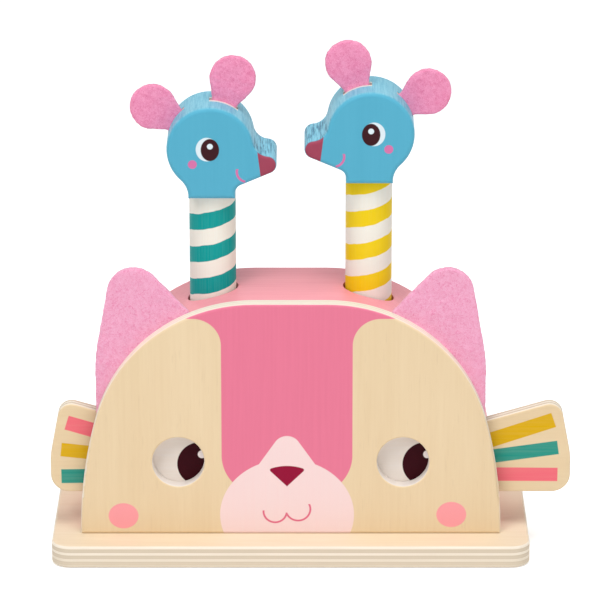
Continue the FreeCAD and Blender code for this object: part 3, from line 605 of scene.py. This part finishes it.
def blaze_mask(tree, across, up):
    """The pink blaze: straight sides, rounded in at its foot, flaring out under the crown."""
    foot = use_group(tree, ROUND_CORNER,
                     across=sums(tree, "SUBTRACT", across, BLAZE_HALF_WIDTH - BLAZE_FOOT_CORNER),
                     up=sums(tree, "SUBTRACT", BLAZE_FOOT, up), radius=BLAZE_FOOT_CORNER)["Distance"]
    patch = use_group(tree, ROUND_CORNER,
                      across=sums(tree, "SUBTRACT", BLAZE_HALF_WIDTH + PATCH_CORNER, across),
                      up=sums(tree, "SUBTRACT", up, PATCH_TOP - PATCH_CORNER),
                      radius=PATCH_CORNER)["Distance"]
    flare = sums(tree, "MAXIMUM", sums(tree, "MULTIPLY", patch, -1.0),
                 sums(tree, "SUBTRACT", PATCH_TOP - PATCH_CORNER, up))
    return print_mask(tree, sums(tree, "MINIMUM", foot, flare))


def muzzle_mask(tree, across, up):
    """The pale muzzle: an ellipse with a rounded peak between the eyes."""
    cheeks = use_group(tree, SPOT, across=across, up=up, middle_across=0.0, middle_up=MUZZLE_MIDDLE_UP,
                       half_width=MUZZLE_HALF_WIDTH, half_height=MUZZLE_HALF_HEIGHT)["Mask"]
    above = sums(tree, "SUBTRACT", up, MUZZLE_PEAK - MUZZLE_PEAK_ROUND)
    sine = math.sin(MUZZLE_SIDE_ANGLE)
    cosine = math.cos(MUZZLE_SIDE_ANGLE)
    outward = sums(tree, "ADD", sums(tree, "MULTIPLY", across, cosine),
                   sums(tree, "MULTIPLY", above, sine))
    upward = sums(tree, "SUBTRACT", sums(tree, "MULTIPLY", above, cosine),
                  sums(tree, "MULTIPLY", across, sine))
    peak = use_group(tree, ROUND_CORNER, across=outward, up=upward, radius=MUZZLE_PEAK_ROUND)["Distance"]
    upper_half = from_to(tree, up, MUZZLE_MIDDLE_UP, MUZZLE_MIDDLE_UP + 1)
    return sums(tree, "MAXIMUM", cheeks, sums(tree, "MULTIPLY", print_mask(tree, peak), upper_half))


def nose_mask(tree, across, up):
    """A triangle on its tip, with a slightly arched top and rounded corners."""
    side = sums(tree, "SUBTRACT", sums(tree, "MULTIPLY", across, math.sin(NOSE_SIDE_ANGLE)),
                sums(tree, "MULTIPLY", sums(tree, "SUBTRACT", up, NOSE_TIP), math.cos(NOSE_SIDE_ANGLE)))
    above_arc_middle = sums(tree, "SUBTRACT", up, NOSE_TOP - NOSE_TOP_ARC)
    top = sums(tree, "SUBTRACT", reach(tree, across, above_arc_middle), NOSE_TOP_ARC)
    outside = use_group(tree, ROUND_CORNER, across=sums(tree, "ADD", side, NOSE_CORNER),
                        up=sums(tree, "ADD", top, NOSE_CORNER), radius=NOSE_CORNER)["Distance"]
    return print_mask(tree, outside)


def mouth_lines(tree, colour, across, up):
    """The two arcs of the mouth, cut off above the peak at which they meet."""
    past_peak = sums(tree, "GREATER_THAN", sums(tree, "ABSOLUTE", across), MOUTH_PEAK_HALF_WIDTH)
    under_peak = print_mask(tree, sums(tree, "SUBTRACT", up, MOUTH_PEAK_UP))
    below_peak = sums(tree, "MAXIMUM", past_peak, under_peak)
    for line in MOUTH_LINES:
        mask = use_group(tree, PAINTED_LINE, across=across, up=up, half_width=MOUTH_HALF_WIDTH,
                         **line)["Mask"]
        colour = lay_over(tree, colour, MOUTH_PINK, mask, below_peak)
    return colour


def cat_face(tree, colour, x, z, fibre):
    """Blaze, muzzle, nose, mouth and cheeks, printed over the wood's colour."""
    across = sums(tree, "SUBTRACT", x, PRINT_MIDDLE)
    off_middle = sums(tree, "ABSOLUTE", across)
    blaze = lay_over(tree, BLAZE_PINK, NOSE_RED, fibre, INK_GRAIN_TINT)
    muzzle = lay_over(tree, MUZZLE_PINK, CHEEK_PINK, fibre, INK_GRAIN_TINT)
    colour = lay_over(tree, colour, blaze, blaze_mask(tree, off_middle, z))
    colour = lay_over(tree, colour, muzzle, muzzle_mask(tree, off_middle, z))
    colour = lay_over(tree, colour, NOSE_RED, nose_mask(tree, off_middle, z))
    colour = mouth_lines(tree, colour, across, z)
    for middle_across, middle_up in CHEEKS:
        mask = use_group(tree, SPOT, across=x, up=z, middle_across=middle_across, middle_up=middle_up,
                         half_width=CHEEK_HALF_WIDTH, half_height=CHEEK_HALF_HEIGHT)["Mask"]
        colour = lay_over(tree, colour, CHEEK_PINK, mask)
    return colour


def printed_panel():
    """The front panel: birch with the face printed on it, a pale layered edge and white eye holes."""
    material, tree, shader = new_material("Printed birch panel", sheen=0.12)
    low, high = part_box("front_panel")
    x, y, z = place_in_mm(tree)
    grain = wood_grain(tree, GRAIN_ALONG_Z)
    face = cat_face(tree, birch_colour(tree, grain), x, z, grain["Fibre"])
    depth = sums(tree, "SUBTRACT", y, low.y / MM)
    edge = layered_edge(tree, depth, (high.y - low.y) / MM, PANEL_LAYERS, dark=0.35, glue=0.25)
    for side in (-1, 1):
        hole = round_spot(tree, x, z, side * EYE_HOLE_SPACING / 2, EYE_HOLE_UP, EYE_HOLE_REACH)
        edge = lay_over(tree, edge, BOARD_WHITE, hole)
    to_front = sums(tree, "MULTIPLY", facing_parts(tree)["Y"], -1.0)
    colour = lay_over(tree, edge, face, from_to(tree, to_front, *PRINT_FACE_RANGE))
    finish_wood(tree, shader, colour, grain["Fibre"], smooth=0.40, rough=0.55)
    return material


# The eyes, in millimetres on the board behind the panel.

PUPIL_RADIUS = 10.1
PUPIL_UP = 39.8
PUPIL_ASIDE = 1.2
PUPIL_SPACING = 97.2
GLINT_RADIUS = 1.8
GLINT_ACROSS = 0.6
GLINT_UP = 4.5

# How strongly the fibre tints the white board.
EYE_BOARD_TINT = 0.12


def eye_paint():
    """White board with two brown pupils, each with a small glint."""
    material, tree, shader = new_material("Painted eyes", sheen=0.06)
    low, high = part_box("eye_board")
    middle = (low.x + high.x) / 2 / MM
    place = place_in_mm(tree)
    grain = wood_grain(tree, GRAIN_ALONG_X)
    colour = lay_over(tree, BOARD_WHITE, BIRCH_DARK, grain["Fibre"], EYE_BOARD_TINT)
    for side in (-1, 1):
        eye = middle + PUPIL_ASIDE + side * PUPIL_SPACING / 2
        pupil = round_spot(tree, place["X"], place["Z"], eye, PUPIL_UP, PUPIL_RADIUS)
        glint = round_spot(tree, place["X"], place["Z"], eye + GLINT_ACROSS, PUPIL_UP + GLINT_UP,
                           GLINT_RADIUS)
        colour = lay_over(tree, colour, PUPIL_BROWN, pupil)
        colour = lay_over(tree, colour, GLINT_WHITE, glint)
    finish_wood(tree, shader, colour, grain["Fibre"], smooth=0.38, rough=0.50)
    return material


# Stripes on the fins, in millimetres from the slider's middle and above the toy's foot.

STRIPE_START = 77.5

# Each stripe's colour, inner end, outer end and half width.
FIN_STRIPES = [
    (FIN_MUSTARD, (STRIPE_START, 49.6), (104.8, 58.9), 3.4),
    (FIN_TEAL, (STRIPE_START, 42.1), (106.9, 46.3), 3.1),
    (FIN_PINK, (STRIPE_START, 34.0), (106.9, 33.8), 3.1),
    (FIN_PINK, (-STRIPE_START, 49.3), (-105.1, 57.7), 3.3),
    (FIN_MUSTARD, (-STRIPE_START, 42.0), (-107.7, 45.3), 3.1),
    (FIN_TEAL, (-STRIPE_START, 33.3), (-107.8, 33.0), 3.2),
]
FIN_INK_TINT = 0.07


def fin_wood():
    """The slider: birch face with painted stripes, layered edges."""
    material, tree, shader = new_material("Striped birch fins", sheen=0.08)
    low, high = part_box("eye_slider")
    x, y, z = place_in_mm(tree)
    across = sums(tree, "SUBTRACT", x, (low.x + high.x) / 2 / MM)
    grain = wood_grain(tree, GRAIN_ALONG_X)
    face = birch_colour(tree, grain)
    for paint, start, end, half_width in FIN_STRIPES:
        stripe = use_group(tree, PAINTED_BAND, across=across, up=z, start_across=start[0],
                           start_up=start[1], end_across=end[0], end_up=end[1],
                           half_width=half_width)["Mask"]
        ink = lay_over(tree, paint, BIRCH_LIGHT, grain["Fibre"], FIN_INK_TINT)
        face = lay_over(tree, face, ink, stripe)
    depth = sums(tree, "SUBTRACT", y, low.y / MM)
    edge = layered_edge(tree, depth, (high.y - low.y) / MM, PANEL_LAYERS)
    on_face = from_to(tree, sums(tree, "ABSOLUTE", facing_parts(tree)["Y"]), *PRINT_FACE_RANGE)
    finish_wood(tree, shader, lay_over(tree, edge, face, on_face), grain["Fibre"], smooth=0.42, rough=0.58)
    return material


# The rods' bands, in millimetres. A band's foot is the height of its lower edge at the rod's left side.

BAND_PITCH = 14.5
BAND_SHARE = 0.5
WANDER_REACH = 0.25
TEAL_BAND_FOOT = 138.45
YELLOW_BAND_FOOT = 139.5

# How strongly the fibre tints the cream and the band, and the band's paint as a share of the relief.
CREAM_TINT = 0.12
BAND_TINT = 0.03
PAINT_STEP = 0.6


def band_mask(tree, axis, band_foot):
    """One painted band wound round a rod, with a hand-painted border."""
    x, y, z = place_in_mm(tree)
    turn = sums(tree, "ARCTAN2", sums(tree, "SUBTRACT", y, axis.y), sums(tree, "SUBTRACT", x, axis.x))
    wound = sums(tree, "MULTIPLY", sums(tree, "ADD", turn, math.pi), BAND_PITCH / (2 * math.pi))
    rise = sums(tree, "SUBTRACT", sums(tree, "SUBTRACT", z, band_foot), wound)
    wander = noise_at(tree, place_on_piece(tree), **BAND_WANDER)
    rise = sums(tree, "ADD", rise, from_to(tree, wander, *NOISE_RANGE, -WANDER_REACH, WANDER_REACH))
    within = sums(tree, "FRACT", sums(tree, "DIVIDE", rise, BAND_PITCH))
    off_band = sums(tree, "ABSOLUTE", sums(tree, "SUBTRACT", within, BAND_SHARE / 2))
    off_band = sums(tree, "MINIMUM", off_band, sums(tree, "SUBTRACT", 1.0, off_band))
    outside = sums(tree, "MULTIPLY", sums(tree, "SUBTRACT", off_band, BAND_SHARE / 2), BAND_PITCH)
    return print_mask(tree, outside)


def striped_rod(name, node, paint, band_foot):
    """Cream rod with one painted band wound round it."""
    material, tree, shader = new_material(name, sheen=0.05)
    low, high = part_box(node)
    band = band_mask(tree, (low + high) / 2 / MM, band_foot)
    grain = wood_grain(tree, GRAIN_ALONG_Z, fineness=1.5)
    cream = lay_over(tree, ROD_CREAM, BIRCH_LIGHT, grain["Fibre"], CREAM_TINT)
    painted = lay_over(tree, paint, ROD_CREAM, grain["Fibre"], BAND_TINT)
    colour = lay_over(tree, cream, painted, band)
    relief = sums(tree, "ADD", grain["Fibre"], sums(tree, "MULTIPLY", band, PAINT_STEP))
    finish_wood(tree, shader, colour, grain["Fibre"], smooth=0.34, rough=0.46, relief=relief)
    add_coat(shader, weight=0.02, roughness=0.2)
    return material


# A mouse's face, in millimetres from the rod's axis towards the snout, and above the neck.

# Each spot's colour, its middle across and up, and half its width and height.
MOUSE_SPOTS = [
    (EYE_WHITE, -1.9, 22.0, 4.7, 5.2),
    (PUPIL_BROWN, -0.6, 21.8, 3.9, 4.85),
    (EYE_WHITE, -0.6, 23.3, 1.25, 1.25),
    (MOUSE_PINK, -8.1, 15.4, 1.9, 1.9),
]
MOUSE_MOUTH = {"middle_across": 15.1, "middle_up": 12.1, "radius": 4.35, "half_width": 0.5,
               "top": 13.4, "left": 5.0, "right": 14.3}
NOSE_BACK_TOP = (19.5, 20.5)
NOSE_BACK_LEAN = 0.128

# The ears' saw slot, and the worn lip by the inner ear.
HEAD_CENTRE = (-0.6, 21.6)
HEAD_RADIUS = 18.5
SLOT_HALF_WIDTH = 1.75
SLOT_ABOVE_CENTRE = 4.0
SLOT_DEPTH_SEEN = 0.15
LIP_HALF_WIDTH = 3.4
LIP_HALF_ANGLE = math.radians(20.5)
INNER_EAR_ANGLE = math.radians(19)
LIP_WEAR = 0.8

# How squarely the surface faces sideways, from face to edge, forwards for the print, and upwards.
HEAD_EDGE_RANGE = (0.75, 0.35)
HEAD_PRINT_RANGE = (0.45, 0.65)
UPWARD_RANGE = (0.1, 0.5)

# Grain under the blue paint: how strongly it tints and stands out, on the faces and on the edges.
BLUE_FIGURE_TINT = 0.25
BLUE_FIBRE_TINT = 0.30
BLUE_TINT = (0.5, 1.2)
BLUE_RELIEF = (0.4, 1.6)
FIGURE_RELIEF = 0.4

# End grain on the heads' edges: the noise at which it starts and is full, and its share at both.
PALE_END_GRAIN = (0.35, 0.62, 0.2, 0.65)
DEEP_END_GRAIN = (0.50, 0.40, 0.0, 0.8)
SNOUT_GRAIN_RANGE = (15.0, 18.0)


def mouse_blue(tree, grain, across, on_edge, upward):
    """Blue paint over the grain, paler on end grain, with deep streaks on top of the snout."""
    tone = sums(tree, "ADD", sums(tree, "MULTIPLY", grain["Figure"], BLUE_FIGURE_TINT),
                sums(tree, "MULTIPLY", grain["Fibre"], BLUE_FIBRE_TINT))
    colour = lay_over(tree, MOUSE_BLUE, MOUSE_BLUE_DARK, tone, from_to(tree, on_edge, 0, 1, *BLUE_TINT))
    end_grain = noise_at(tree, stretched(tree, place_on_piece(tree), END_GRAIN_STRETCH), **END_GRAIN)
    colour = lay_over(tree, colour, MOUSE_BLUE_PALE, on_edge, from_to(tree, end_grain, *PALE_END_GRAIN))
    on_snout = sums(tree, "MULTIPLY", on_edge, from_to(tree, across, *SNOUT_GRAIN_RANGE))
    on_snout = sums(tree, "MULTIPLY", on_snout, from_to(tree, upward, *UPWARD_RANGE))
    return lay_over(tree, colour, MOUSE_BLUE_DEEP, on_snout, from_to(tree, end_grain, *DEEP_END_GRAIN))


def mouse_face(tree, colour, across, up, on_front):
    """Eye, cheek, mouth and nose, printed on the front of the head."""
    for paint, middle_across, middle_up, half_width, half_height in MOUSE_SPOTS:
        spot = use_group(tree, SPOT, across=across, up=up, middle_across=middle_across,
                         middle_up=middle_up, half_width=half_width, half_height=half_height)["Mask"]
        colour = lay_over(tree, colour, paint, spot, on_front)
    mouth = use_group(tree, PAINTED_LINE, across=across, up=up, **MOUSE_MOUTH)["Mask"]
    colour = lay_over(tree, colour, MOUSE_PINK, mouth, on_front)
    lean = sums(tree, "MULTIPLY", sums(tree, "SUBTRACT", NOSE_BACK_TOP[1], up), NOSE_BACK_LEAN)
    nose_back = sums(tree, "ADD", NOSE_BACK_TOP[0], lean)
    nose = print_mask(tree, sums(tree, "SUBTRACT", nose_back, across))
    return lay_over(tree, colour, MOUSE_NOSE, nose, on_front)


def bare_ear_slot(tree, colour, across, up, off_axis, on_edge):
    """Bare wood in the ears' saw slot, and where its lip is worn by the inner ear."""
    from_centre = sums(tree, "SUBTRACT", across, HEAD_CENTRE[0])
    over_centre = sums(tree, "SUBTRACT", up, HEAD_CENTRE[1])
    off_centre = reach(tree, from_centre, over_centre)
    in_slot = sums(tree, "LESS_THAN", off_axis, SLOT_HALF_WIDTH)
    inside = sums(tree, "LESS_THAN", off_centre, HEAD_RADIUS - SLOT_DEPTH_SEEN)
    high_up = sums(tree, "GREATER_THAN", over_centre, SLOT_ABOVE_CENTRE)
    bare = sums(tree, "MULTIPLY", sums(tree, "MULTIPLY", in_slot, inside), high_up)
    colour = lay_over(tree, colour, PLY_LIGHT, bare)
    towards_ear = sums(tree, "ADD", sums(tree, "MULTIPLY", from_centre, math.sin(INNER_EAR_ANGLE)),
                       sums(tree, "MULTIPLY", over_centre, math.cos(INNER_EAR_ANGLE)))
    by_ear = sums(tree, "GREATER_THAN", sums(tree, "DIVIDE", towards_ear, off_centre),
                  math.cos(LIP_HALF_ANGLE))
    in_lip = sums(tree, "LESS_THAN", off_axis, LIP_HALF_WIDTH)
    worn = sums(tree, "MULTIPLY", sums(tree, "MULTIPLY", in_lip, by_ear), on_edge)
    return lay_over(tree, colour, PLY_LIGHT, worn, LIP_WEAR)


def mouse_paint(name, head, rod, side):
    """A mouse's head. The snout points to the left on side 1 and to the right on side -1."""
    material, tree, shader = new_material(name, sheen=0.15)
    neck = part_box(head)[0].z / MM
    rod_low, rod_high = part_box(rod)
    axis = (rod_low + rod_high) / 2 / MM
    x, y, z = place_in_mm(tree)
    across = sums(tree, "MULTIPLY", sums(tree, "SUBTRACT", x, axis.x), float(-side))
    up = sums(tree, "SUBTRACT", z, neck)
    off_axis = sums(tree, "ABSOLUTE", sums(tree, "SUBTRACT", y, axis.y))
    facing = facing_parts(tree)
    on_edge = from_to(tree, sums(tree, "ABSOLUTE", facing["Y"]), *HEAD_EDGE_RANGE)
    on_front = from_to(tree, sums(tree, "MULTIPLY", facing["Y"], -1.0), *HEAD_PRINT_RANGE)
    grain = wood_grain(tree, GRAIN_ALONG_Z, fineness=0.9)
    colour = mouse_blue(tree, grain, across, on_edge, facing["Z"])
    colour = mouse_face(tree, colour, across, up, on_front)
    colour = bare_ear_slot(tree, colour, across, up, off_axis, on_edge)
    fibre_relief = sums(tree, "MULTIPLY", grain["Fibre"], from_to(tree, on_edge, 0, 1, *BLUE_RELIEF))
    relief = sums(tree, "ADD", fibre_relief, sums(tree, "MULTIPLY", grain["Figure"], FIGURE_RELIEF))
    finish_wood(tree, shader, colour, grain["Fibre"], smooth=0.36, rough=0.50, relief=relief)
    add_coat(shader, weight=0.03, roughness=0.3)
    return material


FELT_RELIEF = 0.4 * MM
FELT_ROUGHNESS = (0.88, 1.0)


def pink_felt(name, light, speckle):
    """Matted wool felt with a soft sheen."""
    material, tree, shader = new_material(name, sheen=0.15)
    fibres = use_group(tree, FELT_FIBRES, vector=place_on_piece(tree))
    feed(tree, shader.inputs["Base Color"], lay_over(tree, light, speckle, fibres["Speckle"]))
    roughness = from_to(tree, fibres["Height"], *NOISE_RANGE, *FELT_ROUGHNESS)
    feed(tree, shader.inputs["Roughness"], roughness)
    shader.inputs["Sheen Weight"].default_value = 0.35
    shader.inputs["Sheen Roughness"].default_value = 0.6
    raise_surface(tree, shader, fibres["Height"], FELT_RELIEF)
    return material


def dress_nodes():
    """Gives every CAD node its finish."""
    base_low, base_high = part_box("base_plate")
    guide_low, guide_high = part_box("lower_guide")
    keeper_low, keeper_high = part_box("slider_keeper")
    beam_low, beam_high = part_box("rocker_beam")
    pink = shell_paint()
    birch_block = plywood("Birch blocks", STANDING, guide_low.y, guide_high.y, layers=7.0)
    beech = beech_dowel("Beech dowel along Y", GRAIN_ALONG_Y)
    upright_beech = beech_dowel("Upright beech dowel", GRAIN_ALONG_Z)
    steel = zinc_steel()
    finishes = {
        # The base's edge has painted shade at its foot.
        "base_plate": plywood("Base plywood", LYING, base_low.z, base_high.z, layers=7.0,
                              painted_foot_shade=BASE_FOOT_PAINTED_SHADE, light=BASE_LIGHT, dark=BASE_DARK),
        "base_screws": steel,
        "front_panel": printed_panel(),
        "back_panel": pink,
        "dome_shell": pink,
        "lower_guide": birch_block,
        "upper_guide": birch_block,
        "rear_cleat": birch_block,
        "eye_slider": fin_wood(),
        "eye_board": eye_paint(),
        "slider_keeper": plywood("Keeper plywood", STANDING, keeper_low.y, keeper_high.y, layers=3.0),
        "rocker_axle": beech,
        "front_spacer": beech,
        "rear_spacer": beech,
        "rocker_beam": plywood("Rocker plywood", STANDING, beam_low.y, beam_high.y, layers=5.0),
        "left_rod": striped_rod("Teal striped rod", "left_rod", ROD_TEAL, TEAL_BAND_FOOT),
        "right_rod": striped_rod("Yellow striped rod", "right_rod", ROD_YELLOW, YELLOW_BAND_FOOT),
        "left_rod_pin": steel,
        "right_rod_pin": steel,
        "left_neck_dowel": upright_beech,
        "right_neck_dowel": upright_beech,
        "left_mouse_head": mouse_paint("Left mouse paint", "left_mouse_head", "left_rod", -1),
        "right_mouse_head": mouse_paint("Right mouse paint", "right_mouse_head", "right_rod", 1),
    }
    for name, material in finishes.items():
        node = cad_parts[name]
        node.data.materials.clear()
        node.data.materials.append(material)


# Felt ears: each takes its CAD piece's outline, finely meshed, with a matted, slightly uneven surface.

FELT_MESH = 0.6 * MM
FELT_TUFT_SIZE = 1.6 * MM
FELT_TUFT_HEIGHT = 0.5 * MM
FELT_WAVE_SIZE = 9 * MM
FELT_WAVE_HEIGHT = 0.5 * MM
FELT_NOISE_DEPTH = 2
FELT_MEAN_LEVEL = 0.55
SOFTENING = 0.5
SOFTENING_ROUNDS = 3


def felt_noise(name, grain_size):
    """Cloudy noise that raises the felt, with grains of one size."""
    texture = bpy.data.textures.new(name, "CLOUDS")
    texture.noise_scale = grain_size
    texture.noise_depth = FELT_NOISE_DEPTH
    return texture


def apply_all(piece):
    """Applies the piece's modifiers, with nothing else selected."""
    bpy.ops.object.select_all(action="DESELECT")
    piece.select_set(True)
    bpy.context.view_layer.objects.active = piece
    for modifier in list(piece.modifiers):
        bpy.ops.object.modifier_apply(modifier=modifier.name)


def felt_ear(node_name, body, material, textures):
    """The felt piece that stands in for a CAD node's ear."""
    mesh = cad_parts[node_name].data.copy()
    ear = bpy.data.objects.new("felt_" + node_name, mesh)
    bpy.context.scene.collection.objects.link(ear)
    remesh = ear.modifiers.new("Fine mesh", "REMESH")
    remesh.mode = "VOXEL"
    remesh.voxel_size = FELT_MESH
    soften = ear.modifiers.new("Soft edges", "SMOOTH")
    soften.factor = SOFTENING
    soften.iterations = SOFTENING_ROUNDS
    for texture, height in zip(textures, (FELT_WAVE_HEIGHT, FELT_TUFT_HEIGHT)):
        raised = ear.modifiers.new(texture.name, "DISPLACE")
        raised.texture = texture
        raised.texture_coords = "LOCAL"
        raised.strength = height
        raised.mid_level = FELT_MEAN_LEVEL
    apply_all(ear)
    bpy.ops.object.shade_smooth()
    ear.data.materials.clear()
    ear.data.materials.append(material)
    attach(ear, body)
    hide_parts(node_name)


def felt_ears():
    """The cat's two ears and the four of the mice."""
    cat_felt = pink_felt("Pink felt", FELT_PINK, FELT_SPECKLE)
    mouse_felt = pink_felt("Rose felt", ROSE_FELT, ROSE_FELT_SPECKLE)
    textures = [felt_noise("Felt waves", FELT_WAVE_SIZE), felt_noise("Felt tufts", FELT_TUFT_SIZE)]
    for side in ("left", "right"):
        felt_ear(side + "_cat_ear", "housing", cat_felt, textures)
        for place in ("inner", "outer"):
            felt_ear(side + "_mouse_" + place + "_ear", side + "_mouse", mouse_felt, textures)


# Stage: a pale floor, soft lamps and the camera, in metres and watts.

PLAIN_WHITE = (1, 1, 1, 1)
FLOOR_COLOUR = (0.92, 0.92, 0.92, 1)
FLOOR_ROUGHNESS = 0.9
FLOOR_SIZE = 12
FLOOR_GAP = 0.2 * MM
FLOOR_LIFT = 0.45
DAYLIGHT = 0.42
FULL_WHITE = 1.0
TOY_MIDDLE = (0, 0, 0.09)

# Each lamp's place, width and power.
LAMPS = {
    "Key lamp": ((-0.7, -1.1, 1.5), 0.8, 10),
    "Fill lamp": ((1.2, -1.4, 0.9), 1.2, 4),
    "Top lamp": ((0.1, -0.45, 1.6), 0.9, 11),
}

# The lens and the film width are in millimetres, as cameras give them.
CAMERA_PLACE = (6.15 * MM, -1677.6 * MM, 666.4 * MM)
CAMERA_DOWNWARD = 18.5
CAMERA_LENS = 241.97
FILM_WIDTH = 36
FARTHEST_SEEN = 50


def seen_directly(tree):
    """1 for rays from the camera and for those that a shiny surface sends back, 0 for lighting."""
    path = add_node(tree, "ShaderNodeLightPath")
    shiny = sums(tree, "MAXIMUM", path.outputs["Is Glossy Ray"], path.outputs["Is Transmission Ray"])
    return sums(tree, "MAXIMUM", path.outputs["Is Camera Ray"], shiny)


def floor():
    """A pale floor just under the toy, lifted to white where it is seen directly."""
    bpy.ops.object.select_all(action="DESELECT")
    bpy.ops.mesh.primitive_plane_add(size=FLOOR_SIZE, location=(0, 0, -FLOOR_GAP))
    plane = bpy.context.active_object
    plane.name = "studio_floor"
    material = bpy.data.materials.new("Studio floor")
    material.use_nodes = True
    tree = material.node_tree
    shader = tree.nodes["Principled BSDF"]
    shader.inputs["Base Color"].default_value = FLOOR_COLOUR
    shader.inputs["Roughness"].default_value = FLOOR_ROUGHNESS
    shader.inputs["Emission Color"].default_value = PLAIN_WHITE
    feed(tree, shader.inputs["Emission Strength"], sums(tree, "MULTIPLY", seen_directly(tree), FLOOR_LIFT))
    plane.data.materials.append(material)


def lamp(name, place, width, power):
    """A round area lamp that points at the toy."""
    data = bpy.data.lights.new(name, "AREA")
    data.shape = "DISK"
    data.size = width
    data.energy = power
    holder = bpy.data.objects.new(name, data)
    bpy.context.scene.collection.objects.link(holder)
    holder.location = place
    holder.rotation_euler = (Vector(TOY_MIDDLE) - Vector(place)).to_track_quat("-Z", "Y").to_euler()


def lights():
    """Soft daylight all round, white where it is seen directly, and three lamps."""
    world = bpy.data.worlds.new("Soft daylight")
    bpy.context.scene.world = world
    world.use_nodes = True
    tree = world.node_tree
    background = tree.nodes["Background"]
    background.inputs["Color"].default_value = PLAIN_WHITE
    feed(tree, background.inputs["Strength"], from_to(tree, seen_directly(tree), 0, 1, DAYLIGHT, FULL_WHITE))
    for name, (place, width, power) in LAMPS.items():
        lamp(name, place, width, power)


def camera():
    """Stands where the photo was taken from, level and turned down a little."""
    data = bpy.data.cameras.new("Photo camera")
    data.sensor_width = FILM_WIDTH
    data.lens = CAMERA_LENS
    data.clip_end = FARTHEST_SEEN
    holder = bpy.data.objects.new("Photo camera", data)
    bpy.context.scene.collection.objects.link(holder)
    holder.location = CAMERA_PLACE
    holder.rotation_euler = (math.radians(90 - CAMERA_DOWNWARD), 0, 0)
    bpy.context.scene.camera = holder


dress_nodes()
felt_ears()
floor()
lights()
camera()
bpy.context.scene.view_settings.view_transform = "Standard"
